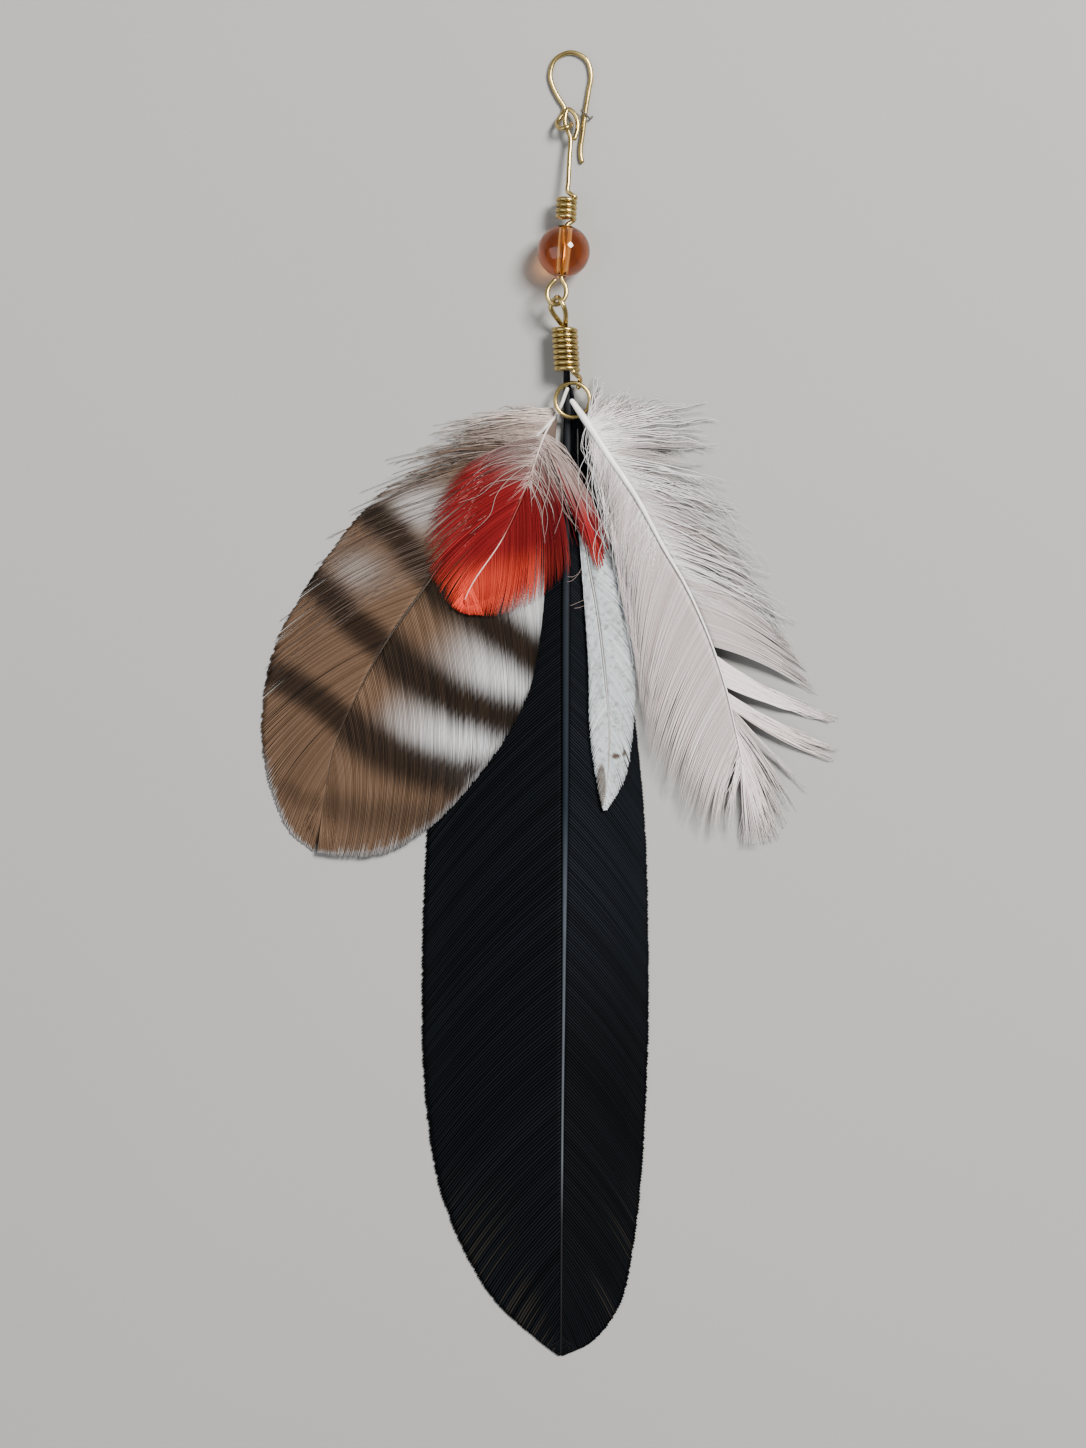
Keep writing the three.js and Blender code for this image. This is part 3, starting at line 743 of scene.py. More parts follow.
def ridge_highlight_and_shade(shader, colour, dark, light):
    """Each barb gets a painted highlight along its ridge and painted shade at its sides."""
    ridge = shader.power(shader.attribute("ridge"), 1.3)
    return shader.blend(ridge, shader.scaled(colour, dark), shader.scaled(colour, light))


def black_material():
    shader = Shader("black_barbs")
    rand = shader.attribute("rand")
    # Painted shade in the valleys between barbs and a painted highlight along each barb's crest.
    shaded_valley = shader.blend(rand, (0.0003, 0.0004, 0.0006), (0.0008, 0.0009, 0.0013))
    lit_crest = shader.blend(rand, (0.006, 0.0073, 0.0098), (0.0125, 0.015, 0.02))
    # The dark value dims this painted crest highlight.
    lit_crest = shader.blend(shader.attribute("dark"), lit_crest, (0.0008, 0.0009, 0.0012))
    lit_crest = shader.blend(shader.attribute("pale"), lit_crest, (0.02, 0.018, 0.0155))
    colour = shader.blend(shader.power(shader.attribute("ridge"), 2.2), shaded_valley, lit_crest)
    return finish_barbs(shader, colour, 0.6, 0.0, 0.0, 0.04)


def white_material():
    shader = Shader("white_barbs")
    colour = shader.blend(shader.attribute("rand"), (0.72, 0.6, 0.58), (0.95, 0.89, 0.88))
    colour = shader.blend(shader.attribute("down"), colour, (0.93, 0.91, 0.91))
    colour = ridge_highlight_and_shade(shader, colour, 0.42, 1.1)
    return finish_barbs(shader, colour, 0.6, 0.15, 0.1, 0.25)


def pale_material():
    shader = Shader("pale_barbs")
    colour = shader.blend(shader.attribute("rand"), (0.54, 0.59, 0.61), (0.76, 0.81, 0.83))
    mottle = shader.ramp(shader.noise(1400.0, 4.0), (0.5, 0.0), (0.68, 0.55))
    colour = shader.blend(mottle, colour, (0.24, 0.22, 0.19))
    fleck = shader.ramp(shader.noise(650.0, 2.0), (0.64, 0.0), (0.7, 0.5))
    colour = shader.blend(fleck, colour, (0.14, 0.11, 0.08))
    colour = ridge_highlight_and_shade(shader, colour, 0.6, 1.1)
    colour = shader.blend(shader.attribute("dark"), colour, (0.1, 0.07, 0.05))
    return finish_barbs(shader, colour, 0.65, 0.1, 0.1, 0.2)


def red_material():
    shader = Shader("red_barbs")
    rand = shader.attribute("rand")
    colour = shader.blend(rand, (0.12, 0.004, 0.006), (0.34, 0.02, 0.022))
    bright = shader.blend(rand, (0.5, 0.022, 0.016), (0.92, 0.11, 0.055))
    colour = shader.blend(shader.attribute("pale"), colour, bright)
    # Painted shade where the red barbs lie over the black feather.
    colour = shader.blend(shader.attribute("dark"), colour, (0.07, 0.004, 0.006))
    down = shader.attribute("down")
    taupe = shader.blend(rand, (0.15, 0.1, 0.088), (0.34, 0.26, 0.24))
    colour = shader.blend(shader.ramp(down, (0.0, 0.0), (0.7, 1.0)), colour, taupe)
    colour = shader.blend(shader.ramp(down, (0.75, 0.0), (0.95, 1.0)), colour, (0.56, 0.45, 0.41))
    colour = ridge_highlight_and_shade(shader, colour, 0.5, 1.2)
    return finish_barbs(shader, colour, 0.65, 0.1, 0.0, 0.08)


def barred_material():
    shader = Shader("barred_barbs")
    rand = shader.attribute("rand")
    tan = shader.blend(rand, (0.1, 0.056, 0.031), (0.165, 0.1, 0.062))
    white = shader.blend(rand, (0.56, 0.55, 0.55), (0.84, 0.85, 0.87))
    brown = shader.blend(rand, (0.009, 0.0045, 0.0023), (0.027, 0.015, 0.0085))
    colour = shader.blend(shader.attribute("pale"), tan, white)
    colour = shader.blend(shader.attribute("dark"), colour, brown)
    down = shader.attribute("down")
    colour = shader.blend(shader.ramp(down, (0.0, 0.0), (0.7, 1.0)), colour, (0.2, 0.145, 0.12))
    colour = shader.blend(shader.ramp(down, (0.75, 0.0), (0.95, 1.0)), colour, (0.7, 0.58, 0.52))
    colour = ridge_highlight_and_shade(shader, colour, 0.45, 1.22)
    return finish_barbs(shader, colour, 0.6, 0.08, 0.02, 0.12)


def brass_material(name):
    shader = Shader(name)
    stain = shader.ramp(shader.noise(260.0, 2.0), (0.42, 0.0), (0.8, 0.6))
    shade = shader.blend(stain, (0.52, 0.39, 0.15), (0.14, 0.09, 0.035))
    rough = shader.ramp(shader.noise(400.0, 1.0), (0.3, 0.22), (0.7, 0.3))
    return shader.finish(shader.surface(shade, rough, Metallic=1.0))


def shaft_material(name, *stops, roughness=0.35, sides=0.5, gloss=0.4, lit_crest=0.3):
    shader = Shader(name)
    colour = shader.ramp(shader.attribute("along"), *stops)
    grain = shader.noise(1200.0, 3.0, (1.0, 0.2, 1.0))
    colour = shader.blend(shader.ramp(grain, (0.3, 0.0), (0.8, 0.5)), colour, (0.6, 0.58, 0.55), "MULTIPLY")
    # Painted highlight along the top of the shaft and painted shade on its sides, where the colour is scaled
    # by sides.
    top = shader.ramp(shader.attribute("top"), (lit_crest, 0.0), (0.95, 1.0))
    colour = shader.blend(top, shader.scaled(colour, sides), colour)
    return shader.finish(shader.surface(colour, roughness, Specular_IOR_Level=gloss))


def amber_material():
    shader = Shader("amber_glass")
    inside = shader.node("VolumeAbsorption", {"Color": (0.88, 0.52, 0.1), "Density": 260.0}).outputs[0]
    shader.put(shader.output.inputs["Volume"], inside)
    return shader.finish(shader.surface((1.0, 0.78, 0.45), 0.03, IOR=1.5, Transmission_Weight=1.0))


def fibre_material():
    shader = Shader("dark_fibre")
    colour = shader.blend(shader.noise(4000.0), (0.03, 0.027, 0.022), (0.09, 0.08, 0.07))
    return shader.finish(shader.surface(colour, 0.8))


# Camera, light and floor

def add_camera():
    data = bpy.data.cameras.new("camera")
    data.sensor_width = SENSOR
    data.lens = SENSOR * CAMERA_HEIGHT / (PHOTO_HEIGHT * MM_PER_PIXEL)
    data.clip_start, data.clip_end = CLIP
    camera = bpy.data.objects.new("camera", data)
    camera.location = np.array([*CAMERA_POINT, CAMERA_HEIGHT]) * MM + RING_CENTRE
    bpy.context.scene.collection.objects.link(camera)
    bpy.context.scene.camera = camera


def add_light(name, place, side, power, colour):
    data = bpy.data.lights.new(name, "AREA")
    data.shape = "SQUARE"
    data.size = side
    data.energy = power
    data.color = colour
    light = bpy.data.objects.new(name, data)
    light.location = place
    light.rotation_euler = (-light.location).to_track_quat("-Z", "Y").to_euler()
    bpy.context.scene.collection.objects.link(light)


def add_floor():
    mesh = bpy.data.meshes.new("floor")
    corners = [(x * FLOOR_HALF, y * FLOOR_HALF, 0) for x, y in ((-1, -1), (1, -1), (1, 1), (-1, 1))]
    mesh.from_pydata(corners, [], [(0, 1, 2, 3)])
    shader = Shader("floor_paper")
    shade = shader.blend(shader.noise(6.0, 2.0), (0.295, 0.29, 0.28), (0.325, 0.318, 0.308))
    mesh.materials.append(shader.finish(shader.surface(shade, 0.9, Specular_IOR_Level=0.2)))
    floor = bpy.data.objects.new("floor", mesh)
    bpy.context.scene.collection.objects.link(floor)


def add_world():
    world = bpy.data.worlds.new("studio")
    bpy.context.scene.world = world
    world.use_nodes = True
    background = world.node_tree.nodes["Background"]
    background.inputs["Color"].default_value = (0.95, 0.97, 1.0, 1.0)
    background.inputs["Strength"].default_value = 0.3


# Wires and bead

WIRE_SIDES = 20
WIRE_STEP = 0.12
RING_STEPS = 120
BEAD_STEPS = 96
BEAD_RINGS = 64
BORE_RINGS = 22


def on_link(point):
    """A point of the link, which slopes down toward the hook, at its height there."""
    return (point[0], point[1], BEAD_CENTRE[2] - (point[1] - BEAD_CENTRE[1]) * LINK_SLOPE)


def helix(start, end, radius, turns, first_angle):
    """Points that wind round the straight line from start to end."""
    start = np.array(start, float)
    axis = np.array(end, float) - start
    line = unit(axis)
    across = unit(np.array([1.0, 0, 0]) - line * line[0])
    up = unit(np.cross(across, axis))
    count = round(turns * POINTS_A_TURN)
    step = np.arange(count + 1)[:, None]
    angle = first_angle + 2 * np.pi * step / POINTS_A_TURN
    return start + axis * step / count + (across * np.cos(angle) + up * np.sin(angle)) * radius


def wire_piece(name, points, diameter, material, body, slot, node):
    curve = Curve(points)
    line = curve.at(np.linspace(0, 1, int(curve.length / WIRE_STEP)))
    add_object(name, tube_mesh(name, line, diameter / 2, WIRE_SIDES), material, body, slot, node)


def add_wires():
    wrap = helix(on_link(WRAP_BOTTOM), on_link(WRAP_TOP), WRAP_RADIUS, WRAP_TURNS, 0.0)
    below = [on_link(p) for p in [*LOWER_EYE, *PIN_BELOW]]
    above = [on_link(p) for p in [*PIN_ABOVE, *UPPER_EYE]]
    wire_piece("pin_wire_round", [*below, *wrap, *above], WIRE, brass_material("pin_metal"), "bead_link",
               "pin_brass", "pin_wire")
    turns = helix(COIL_TOP, COIL_BOTTOM, COIL_RADIUS, COIL_TURNS, math.pi / 2)
    wire_piece("coil_wire_round", [*COIL_EYE, *turns, *COIL_TAIL], COIL_WIRE, brass_material("coil_metal"),
               "feathers", "coil_brass", "coil_wire")
    hook = [(*p, HOOK_HEIGHT) for p in HOOK] + HOOK_CURL
    wire_piece("hook_wire_round", hook, WIRE, brass_material("hook_metal"), "hook", "hook_brass", "hook_wire")
    wire_piece("leg_fibre_round", FIBRE, FIBRE_THICKNESS, fibre_material(), "hook", "dark_fibre", "leg_fibre")


def add_grid(name, vertices, material, body, slot, node):
    """A surface closed both ways, such as a ring."""
    count, sides = vertices.shape[:2]
    quads = grid_quads(np.arange(count * sides).reshape(count, sides), True)
    uv = grid_uv(count, sides, 0.01)
    mesh = polygons(name, vertices.reshape(-1, 3), quads, np.zeros((0, 3), int), uv)
    add_object(name, mesh, material, body, slot, node)


def add_ring():
    turn = np.linspace(0, 2 * np.pi, RING_STEPS, endpoint=False)[:, None]
    tube = np.linspace(0, 2 * np.pi, WIRE_SIDES, endpoint=False)[None]
    reach = RING_RADIUS + RING_WIRE / 2 * np.cos(tube)
    height = RING_HEIGHT + RING_WIRE / 2 * np.sin(tube) + 0 * turn
    vertices = np.stack([reach * np.cos(turn), reach * np.sin(turn), height], -1)
    add_grid("jump_ring_round", vertices, brass_material("ring_metal"), "feathers", "ring_brass", "jump_ring")


def add_bead():
    """A ball with a bore along the pin, turned about its axis."""
    tilt = math.asin(BORE_RADIUS / BEAD_RADIUS)
    angle = np.linspace(tilt, math.pi - tilt, BEAD_RINGS)
    profile = [(BEAD_RADIUS * math.sin(a), -BEAD_RADIUS * math.cos(a)) for a in angle]
    bore = np.linspace(profile[-1][1], profile[0][1], BORE_RINGS + 2)[1:-1]
    profile = np.array(profile + [(BORE_RADIUS, y) for y in bore])
    turn = np.linspace(0, 2 * np.pi, BEAD_STEPS, endpoint=False)
    below, above = np.array(on_link(PIN_BELOW[0])), np.array(on_link(PIN_BELOW[2]))
    axis = unit(above - below)
    side = unit(np.cross(axis, (0.0, 0.0, 1.0)))
    other = np.cross(axis, side)
    ring = side * np.cos(turn)[:, None] + other * np.sin(turn)[:, None]
    vertices = np.array(BEAD_CENTRE) + ring[:, None] * profile[None, :, :1] + axis * profile[None, :, 1:]
    add_grid("amber_bead", vertices, amber_material(), "bead", "amber_bead", "bead")


# The feathers one by one, from the lowest up

def finish_feather(feather, name, node, slot, material, quill_material, radii, end=1.0, lift=0.1):
    """Adds a feather's barbs and shaft, and gives back the barbs' points for what lies on them."""
    mesh, vertices = feather.strands.mesh(name + "_barbs")
    add_object(name + "_barbs", mesh, material, "feathers", slot, node)
    tube = shaft_tube(feather, name + "_shaft", radii, end, lift)
    add_object(name + "_shaft", tube, quill_material, "feathers", slot)
    return vertices


def wisps(feather, side, seed, table, second, **how):
    """Tufts of free strands. Each row has a tip and the shares of the shaft where the tuft starts."""
    for i, (tip, start, end) in enumerate(table):
        other = (tip[0] + second[0], tip[1] + second[1])
        tuft(feather, side, seed + i, roots=(start, end), tips=(tip, other), **how)


# Dark down beside the top of the black feather's shaft: seed, roots, tips and bow of each tuft
BLACK_DOWN = [
    (14, (-0.075, -0.04), ((2.6, -11.0), (4.2, -15.0)), 0.04),
    (15, (-0.06, -0.02), ((4.6, -16.0), (5.6, -20.0)), 0.05),
    (16, (-0.04, 0.0), ((3.0, -17.0), (5.4, -21.5)), 0.02),
]


def add_black():
    feather = Feather(BLACK)

    def paint(line, along, out, side, rng):
        count = line.shape[0]
        chance = (rng.uniform(0, 1, count) < (0.3 if side < 0 else 0.1))[:, None]
        y = line[..., 1]
        # shade is painted shade: it halves the painted crest highlight on the left vane, and dims it on the
        # right vane toward the tip.
        shade = 0.5 if side < 0 else 0.6 * smooth(-70.0, -105.0, y)
        return {"pale": smooth(-114, -134, y) * smooth(0.35, 0.8, out) * chance, "dark": shade}
    feather.paint = paint
    for side, seed in ((-1, 11), (1, 12)):
        vane(feather, side, seed, barbs=270, steps=24, locks=30, pinch=0.0, bow=0.07, ragged=0.01, cover=1.5,
             taper=1.0, jitter=0.04, lift_noise=0.015)
    tip_fan(feather, 13, 8, 0.02, 0.02, 0.35)
    for seed, roots, tips, bow in BLACK_DOWN:
        tuft(feather, 1, seed, 16, roots, tips, bow=bow, width=0.22, ragged=0.25, wave=0.12, lift=1.0)
    # The lighter stretch from 0.55 to 0.8 of the shaft's length is a painted highlight.
    quill = shaft_material("black_shaft", (0.0, (0.012, 0.013, 0.015)), (0.45, (0.007, 0.012, 0.019)),
                           (0.55, (0.05, 0.06, 0.075)), (0.8, (0.08, 0.088, 0.1)),
                           (0.86, (0.012, 0.012, 0.014)), (1.0, (0.012, 0.012, 0.014)), roughness=0.6,
                           sides=0.08, gloss=0.1, lit_crest=0.55)
    radii = [(0, 0.45), (0.05, 0.66), (0.25, 0.72), (0.45, 0.6), (0.6, 0.34), (0.72, 0.26), (0.9, 0.22),
             (1, 0.1)]
    return finish_feather(feather, "black", "black_vulture_feather", "black_vane", black_material(), quill,
                          radii, lift=0.15)


def add_pale(*below):
    feather = Feather(PALE, *below)

    def paint(line, along, out, side, rng):
        x, y = line[..., 0], line[..., 1]
        lens = smooth(1.0, 0.6, ((x - 4.4) / 0.75) ** 2 + ((y + 58.6) / 3.6) ** 2)
        speck = smooth(1.0, 0.5, ((x - 6.6) / 0.8) ** 2 + ((y + 54.2) / 0.5) ** 2)
        spot = smooth(1.0, 0.5, ((x - 7.9) / 0.35) ** 2 + ((y + 53.8) / 0.6) ** 2)
        return {"dark": np.clip(lens * 0.8 + speck + spot, 0, 1)}
    feather.paint = paint
    for side, seed in ((-1, 21), (1, 22)):
        vane(feather, side, seed, barbs=170, steps=16, locks=14, pinch=0.12, bow=0.08,
             ragged=0.09 if side < 0 else 0.04, open_from=0.8, taper=0.7)
    tip_fan(feather, 23, 6, 0.05, 0.05, 0.25)
    quill = shaft_material("pale_shaft", (0.0, (0.02, 0.02, 0.02)), (0.2, (0.03, 0.03, 0.03)),
                           (0.3, (0.42, 0.42, 0.41)), (0.7, (0.45, 0.44, 0.42)), (1.0, (0.2, 0.15, 0.11)))
    radii = [(0, 0.12), (0.2, 0.14), (0.8, 0.12), (1, 0.05)]
    return finish_feather(feather, "pale", "pale_grey_feather", "grey_vane", pale_material(), quill, radii)


# The dark bands of the barred feather: their middle lines, half widths and strengths
BANDS = [
    ([(-33.7, -14.4), (-31.1, -16.8), (-26.6, -20.5), (-23.8, -24.6), (-19.6, -29.2), (-16.8, -30.9),
      (-12.1, -34.4), (-6.7, -38.4), (-4.5, -40.0)], 2.6, 1.0),
    ([(-41.0, -26.4), (-36.9, -29.9), (-33.8, -33.6), (-29.0, -37.2), (-26.3, -40.0), (-22.3, -43.0),
      (-16.8, -46.2), (-11.4, -48.2), (-7.0, -49.3)], 2.65, 1.0),
    ([(-45.4, -42.0), (-41.9, -43.6), (-38.5, -46.0), (-34.5, -49.3), (-31.1, -51.8), (-27.0, -54.4),
      (-22.3, -56.3), (-17.5, -57.6), (-12.5, -57.8)], 2.6, 0.97),
    ([(-44.0, -59.0), (-41.9, -60.6), (-32.1, -63.0), (-23.3, -63.6), (-17.0, -62.9)], 1.8, 0.5),
]
BAND_SOFTNESS = 1.6
OUTER_SHADE = 0.2
INNER_WIDTH = 1.3


def distance_to(points, line):
    """How far points are from a line, seen from above."""
    nearest = np.full(points.shape[:-1], 1e9)
    for a, b in zip(line[:-1], line[1:]):
        a, b = np.array(a), np.array(b)
        share = np.clip(((points - a) @ (b - a)) / ((b - a) @ (b - a)), 0, 1)
        nearest = np.minimum(nearest, np.linalg.norm(points - a - share[..., None] * (b - a), axis=-1))
    return nearest


def paint_barred(line, along, out, side, rng):
    count = line.shape[0]
    shift = rng.normal(0, 0.25, count)[:, None]
    seen = line[..., :2].copy()
    seen[..., 1] += shift
    dark = np.zeros(line.shape[:2])
    for middle, half, strength in BANDS:
        away = distance_to(seen, middle) / (1.0 if side < 0 else INNER_WIDTH)
        dark = np.maximum(dark, strength * (1 - smooth(half - BAND_SOFTNESS, half + BAND_SOFTNESS, away)))
    x, y = line[..., 0], line[..., 1]
    below_last = smooth(-47.0, -52.0, y + 0.55 * (x + 32.0))
    streak = rng.uniform(0.8, 1.0, count)[:, None]
    pale = np.zeros(line.shape[:2])
    if side < 0:
        dark = np.maximum(dark, OUTER_SHADE)
    else:
        pale = smooth(0.12, 0.75, out) * (1 - below_last) * streak
    patch = np.exp(-((x + 23.5) / 5.0) ** 2 - ((y + 16.0) / 3.6) ** 2)
    second = np.exp(-((x + 33.0) / 4.0) ** 2 - ((y + 26.0) / 3.0) ** 2)
    pale = np.maximum(pale, np.maximum(patch * 0.6, second * 0.25) * streak)
    fringe = smooth(0.95, 1.0, out + rng.normal(0, 0.01, count)[:, None]) * smooth(-52.0, -60.0, y)
    pale = np.maximum(pale, fringe * 0.6)
    dark = dark * (1 - 0.8 * fringe)
    base = smooth(13.0, 6.0, np.hypot(x + 5.0, (y + 7.5) * 1.1) - 4.0 * rng.uniform(0, 1, count)[:, None])
    return {"dark": np.clip(dark, 0, 1), "pale": np.clip(pale, 0, 1), "down": np.clip(base, 0, 1) * 0.7}


# Partings of the barred feather's outer vane: a point, the width, and where each starts and closes
BARRED_PARTINGS = [
    ((-36.5, -26.0), 0.18, 0.4, 1.1), ((-41.8, -41.0), 0.25, 0.5, 1.1), ((-30.5, -37.5), 0.1, 0.0, 0.9),
    ((-38.0, -50.0), 0.12, 0.1, 0.85), ((-27.5, -10.5), 0.4, 0.6, 1.1), ((-44.0, -35.5), 0.2, 0.75, 1.1),
]
# Free wisps beyond its outer edge: where the tips are, and the share of the shaft where they start
BARRED_WISPS = [
    ((-19.8, -3.1), 0.0, 0.01), ((-22.1, -5.0), 0.01, 0.03), ((-23.3, -6.5), 0.02, 0.05),
    ((-23.3, -8.4), 0.04, 0.07), ((-23.4, -11.2), 0.06, 0.1), ((-29.0, -9.3), 0.08, 0.12),
    ((-32.7, -13.8), 0.12, 0.16), ((-34.5, -16.3), 0.15, 0.19), ((-37.9, -20.9), 0.19, 0.24),
    ((-40.6, -25.9), 0.24, 0.29), ((-45.2, -33.1), 0.3, 0.36), ((-46.9, -38.0), 0.36, 0.41),
    ((-47.1, -40.9), 0.4, 0.44),
]
# Pale wisps that fan up from its base: their tips and bow
BARRED_BASE_WISPS = [((-8.2, -0.6), -0.05), ((-12.0, -1.1), 0.03), ((-16.4, -2.0), 0.05),
                     ((-20.5, -4.4), 0.06)]


def add_barred(*below):
    feather = Feather(BARRED, *below)
    feather.paint = paint_barred
    vane(feather, -1, 31, barbs=300, steps=24, locks=16, pinch=0.04, bow=0.1, ragged=0.015, open_from=0.85,
         cover=1.7, taper=0.85, jitter=0.15, wispy=0.16, partings=BARRED_PARTINGS)
    vane(feather, 1, 32, barbs=270, steps=24, locks=14, pinch=0.05, bow=0.12, ragged=0.012, open_from=0.85,
         cover=1.3, taper=0.8, jitter=0.1)
    tip_fan(feather, 35, 10, 0.05, 0.04, 0.35)
    for seed, table, bow, down in ((300, BARRED_WISPS[:5], 0.02, 0.8), (305, BARRED_WISPS[5:], 0.1, 0.3)):
        wisps(feather, -1, seed, table, (1.6, -1.4), count=7, bow=bow, width=0.14, ragged=0.3, wave=0.12,
              lift=0.3, spread=0.4, down=down)
    for i, (tip, bow) in enumerate(BARRED_BASE_WISPS):
        second = (tip[0] - 1.0, tip[1] - 1.6)
        tuft(feather, -1, 340 + i, 6, (-0.02, 0.02), (tip, second), bow=bow, width=0.15, ragged=0.4, wave=0.2,
             lift=0.5, spread=0.5, down=1.0)
    loose(feather, -1, 33, 110, (0.0, 0.12), (0.05, 0.34), 0.03, 0.02, reach=(0.5, 1.05), bend=(0.02, 0.06),
          down=0.85, steps=18)
    quill = shaft_material("barred_shaft", (0.0, (0.85, 0.82, 0.78)), (0.2, (0.8, 0.76, 0.7)),
                           (0.3, (0.1, 0.07, 0.05)), (1.0, (0.03, 0.02, 0.013)))
    radii = [(0, 0.3), (0.1, 0.26), (0.25, 0.14), (0.5, 0.09), (1, 0.045)]
    return finish_feather(feather, "barred", "barred_feather", "barred_vane", barred_material(), quill, radii)


def paint_red(read_black):
    """The red feather is brightest at its tip, and gets painted shade where it lies over the black one, which
    also dims its tip there.
    """

    def paint(line, along, out, side, rng):
        count = line.shape[0]
        x, y = line[..., 0], line[..., 1]
        jitter = rng.normal(0, 1.3, count)[:, None]
        base = smooth(-17.0, -11.0, y + 0.35 * x + jitter)
        tip = smooth(-22.5, -28.5, y - 0.2 * (x + 12.0) + 0.4 * jitter)
        # Painted shade where the red barbs lie over the black feather.
        shade_over_black = (read_black(line) > 0.2) * smooth(-4.8, -3.8, x)
        dark = shade_over_black * (0.55 - 0.45 * smooth(0.5, 1.5, x))
        return {"pale": tip * (1 - 0.6 * shade_over_black), "dark": dark, "down": base * 0.68}
    return paint


# Long pale strands over the red vane
RED_STRANDS = [
    [(-6.2, -9.5), (-9.5, -12.0), (-11.6, -14.6), (-12.6, -17.6), (-15.6, -20.5)],
    [(2.8, -8.5), (2.6, -11.0), (1.3, -14.3), (0.6, -17.0), (0.4, -20.1)],
    [(-5.0, -8.5), (-8.0, -13.0), (-10.5, -16.0), (-14.5, -18.5)],
    [(-4.6, -9.0), (-5.6, -14.0), (-8.2, -18.5), (-9.4, -22.0)],
    [(-4.2, -8.0), (-3.6, -13.0), (-4.6, -17.5), (-4.2, -22.0)],
    [(-3.8, -7.5), (-2.0, -12.0), (-1.6, -16.5), (-2.8, -20.5)],
    [(-5.4, -9.4), (-10.5, -11.5), (-14.0, -14.5), (-17.5, -15.8)],
    [(-6.0, -11.0), (-9.0, -16.8), (-12.4, -20.5), (-13.4, -23.5)],
    [(-3.6, -7.0), (-0.4, -10.5), (1.2, -13.0), (2.9, -17.5)],
    [(-0.9, -27.8), (-0.2, -27.6), (0.6, -26.9), (1.3, -25.9)],
    [(-0.8, -27.0), (0.0, -27.0), (0.9, -26.4), (1.4, -25.4)],
    [(-0.4, -31.4), (0.8, -30.9), (2.0, -30.3), (3.1, -29.3)],
    [(0.2, -31.8), (1.2, -31.6), (2.2, -31.0), (2.9, -30.2)],
]


def add_red(black, *others):
    feather = Feather(RED, black, *others)
    feather.paint = paint_red(heights_of([black]))
    vane(feather, -1, 41, barbs=240, steps=24, locks=22, pinch=0.55, bow=0.1, ragged=0.13, part=(0.02, 1),
         open_from=0.65, cover=1.25, softness=0.02)
    vane(feather, 1, 42, barbs=210, steps=24, locks=18, pinch=0.5, bow=0.07, ragged=0.13, part=(0.066, 1),
         open_from=0.65, cover=1.25, softness=0.0)
    tuft(feather, 1, 45, 46, (0.0, 0.03), ((5.7, -21.6), (4.0, -26.6)), bow=0.09, width=0.34, ragged=0.14)
    tuft(feather, 1, 46, 16, (0.01, 0.05), ((3.9, -26.2), (1.8, -22.4)), bow=0.05, width=0.24, ragged=0.3)
    tuft(feather, 1, 47, 9, (0.05, 0.08), ((0.9, -21.5), (-0.6, -26.4)), bow=0.04, width=0.13, ragged=0.3,
         wave=0.1)
    tip_fan(feather, 48, 20, 0.08, 0.05, 0.2)
    loose(feather, -1, 43, 70, (0.01, 0.3), (0.25, 0.8), 0.06, 0.012, reach=(0.3, 0.8), width=0.075, lift=0.4)
    loose(feather, 1, 44, 65, (0.0, 0.3), (0.42, 0.8), 0.06, 0.012, reach=(0.3, 0.7), width=0.075, lift=0.4)
    loose(feather, 1, 49, 14, (0.0, 0.03), (0.28, 0.5), 0.05, 0.025, reach=(0.4, 1.0), lift=0.4)
    for points in RED_STRANDS:
        short = points[-1][1] < -25
        strand(feather, 1, points, width=0.07 if short else 0.1, down=0.8 if short else 1.0, dark=0.0)
    quill = shaft_material("red_shaft", (0.0, (0.7, 0.64, 0.6)), (0.25, (0.6, 0.45, 0.4)),
                           (0.4, (0.3, 0.04, 0.03)), (0.58, (0.4, 0.06, 0.05)), (0.66, (0.85, 0.5, 0.45)),
                           (0.95, (0.9, 0.62, 0.56)), (1.0, (0.8, 0.2, 0.1)))
    radii = [(0, 0.16), (0.15, 0.15), (0.4, 0.08), (0.9, 0.09), (1, 0.04)]
    return finish_feather(feather, "red", "red_feather", "red_vane", red_material(), quill, radii)


# Partings of the white feather's right vane, and the tufts below its lowest large gap
WHITE_PARTINGS = [
    ((19.6, -24.8), 0.9, 0.1, 0.6), ((26.5, -27.5), 0.6, 0.4, 1.1),
    ((29.5, -31.5), 0.5, 0.5, 1.1), ((22.5, -14.0), 1.0, 0.4, 1.1), ((33.4, -39.5), 0.7, 0.6, 1.1),
]
WHITE_LEFT_PARTINGS = [
    ((15.4, -60.0), 0.6, 0.6, 1.1), ((17.8, -62.5), 0.8, 0.5, 1.1), ((13.0, -56.0), 0.5, 0.6, 1.1),
    ((20.6, -63.0), 0.8, 0.45, 1.1),
]
# Each: seed, count, roots along the shaft, tips, bow, width
WHITE_TUFTS = [
    (500, 80, (0.67, 0.75), ((40.7, -48.9), (38.4, -48.4)), -0.07, 0.24),
    (501, 40, (0.765, 0.805), ((41.1, -52.8), (39.9, -55.0)), -0.07, 0.22),
    (502, 6, (0.80, 0.83), ((36.9, -59.8), (36.4, -60.6)), 0.0, 0.15),
    (503, 7, (0.82, 0.85), ((34.6, -63.3), (33.4, -62.6)), 0.06, 0.15),
    (504, 7, (0.83, 0.88), ((33.0, -60.2), (32.2, -62.8)), 0.02, 0.13),
    (505, 9, (0.85, 0.89), ((32.9, -64.4), (32.2, -65.4)), 0.06, 0.17),
    (506, 28, (0.87, 0.93), ((31.3, -66.2), (28.8, -67.2)), 0.06, 0.2),
    (507, 16, (0.92, 0.99), ((27.2, -67.7), (25.4, -67.4)), 0.02, 0.2),
]
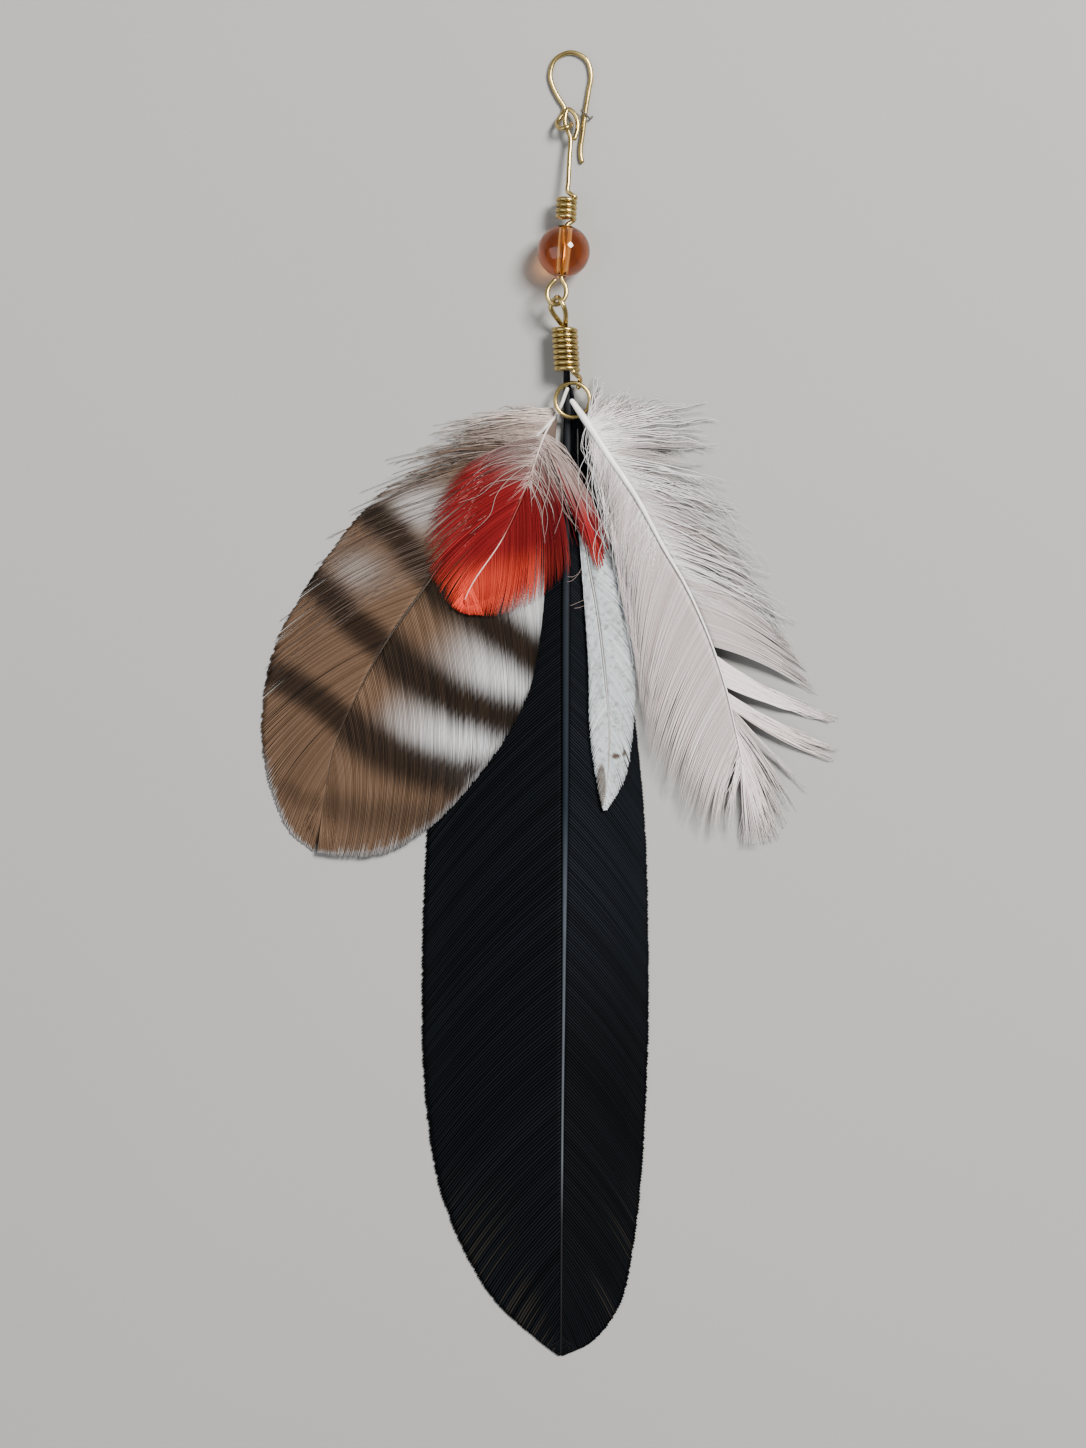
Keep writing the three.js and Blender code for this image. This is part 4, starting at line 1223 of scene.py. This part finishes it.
WHITE_LEFT_TUFTS = [
    (511, 12, (0.9, 0.96), ((24.4, -66.8), (22.8, -66.4)), 0.05, 0.17),
    (512, 7, (0.88, 0.93), ((22.2, -66.2), (21.6, -65.6)), 0.09, 0.15),
    (513, 6, (0.92, 0.97), ((24.6, -61.5), (22.6, -62.0)), 0.12, 0.13),
]
# Long wisps at its base: tip, and the shares of the shaft where they start
WHITE_WISPS = [
    ((5.0, 4.5), 0.0, 0.004), ((9.5, 2.6), 0.002, 0.01), ((11.4, 0.7), 0.006, 0.015),
    ((13.6, 0.1), 0.01, 0.02), ((17.0, 0.4), 0.012, 0.026), ((20.6, 0.1), 0.02, 0.034),
    ((22.8, -2.0), 0.028, 0.045),
    ((23.1, -5.4), 0.04, 0.06), ((21.0, -4.6), 0.035, 0.055), ((25.6, -12.6), 0.1, 0.13),
    ((25.3, -15.5), 0.13, 0.16), ((25.5, -17.9), 0.16, 0.2), ((28.5, -24.7), 0.25, 0.3),
    ((32.3, -27.9), 0.32, 0.38), ((33.3, -30.4), 0.36, 0.42), ((34.2, -33.0), 0.4, 0.46),
]


def add_white(*below):
    feather = Feather(WHITE, *below)
    vane(feather, -1, 51, barbs=300, steps=22, locks=30, pinch=0.5, bow=0.1, ragged=0.1, part=(0, 0.9),
         open_from=0.7, cover=1.15, taper=0.3, wave=0.02, wispy=0.2, partings=WHITE_LEFT_PARTINGS)
    vane(feather, 1, 52, barbs=290, steps=22, locks=30, pinch=0.7, bow=0.1, ragged=0.16, part=(0, 0.645),
         open_from=0.55, cover=1.1, taper=0.3, softness=0.004, wave=0.03, wispy=0.36, partings=WHITE_PARTINGS)
    for side, tufts in ((1, WHITE_TUFTS), (-1, WHITE_LEFT_TUFTS)):
        for seed, count, roots, tips, bow, width in tufts:
            tuft(feather, side, seed, count, roots, tips, bow=bow, width=width, ragged=0.3, wave=0.07,
                 taper=0.3, spread=0.35)
    tip_fan(feather, 59, 10, 0.08, 0.03, 0.2)
    wisps(feather, 1, 520, WHITE_WISPS, (-0.6, -1.6), count=6, bow=0.04, width=0.21, ragged=0.4, wave=0.25,
          lift=1.0, spread=0.6, down=0.6)
    loose(feather, 1, 53, 90, (0.0, 0.1), (0.05, 0.36), 0.04, 0.05, reach=(0.3, 0.8), width=0.14, lift=0.6)
    loose(feather, 1, 55, 60, (0.12, 0.5), (0.42, 0.64), 0.02, 0.03, reach=(0.85, 1.08), width=0.12, lift=0.4)
    loose(feather, -1, 54, 130, (0.0, 0.35), (0.1, 0.5), 0.05, 0.03, reach=(0.5, 1.1))
    quill = shaft_material("white_shaft", (0.0, (0.9, 0.88, 0.85)), (1.0, (0.92, 0.88, 0.85)), roughness=0.3,
                           sides=0.8)
    radii = [(0, 0.4), (0.05, 0.58), (0.17, 0.47), (0.33, 0.34), (0.48, 0.23), (0.63, 0.15), (0.8, 0.11),
             (1, 0.06)]
    finish_feather(feather, "white", "white_feather", "white_vane", white_material(), quill, radii, end=0.95,
                   lift=0.25)


add_camera()
add_floor()
add_world()
add_light("key", (0.42, 0.38, 0.7), 0.3, 21.0, (1.0, 0.98, 0.95))
add_light("fill", (-0.5, -0.1, 0.6), 0.7, 3.0, (0.95, 0.98, 1.0))
add_wires()
add_ring()
add_bead()

black = add_black()
pale = add_pale(black)
barred = add_barred(black)
red = add_red(black, pale, barred)
add_white(black, pale, red)
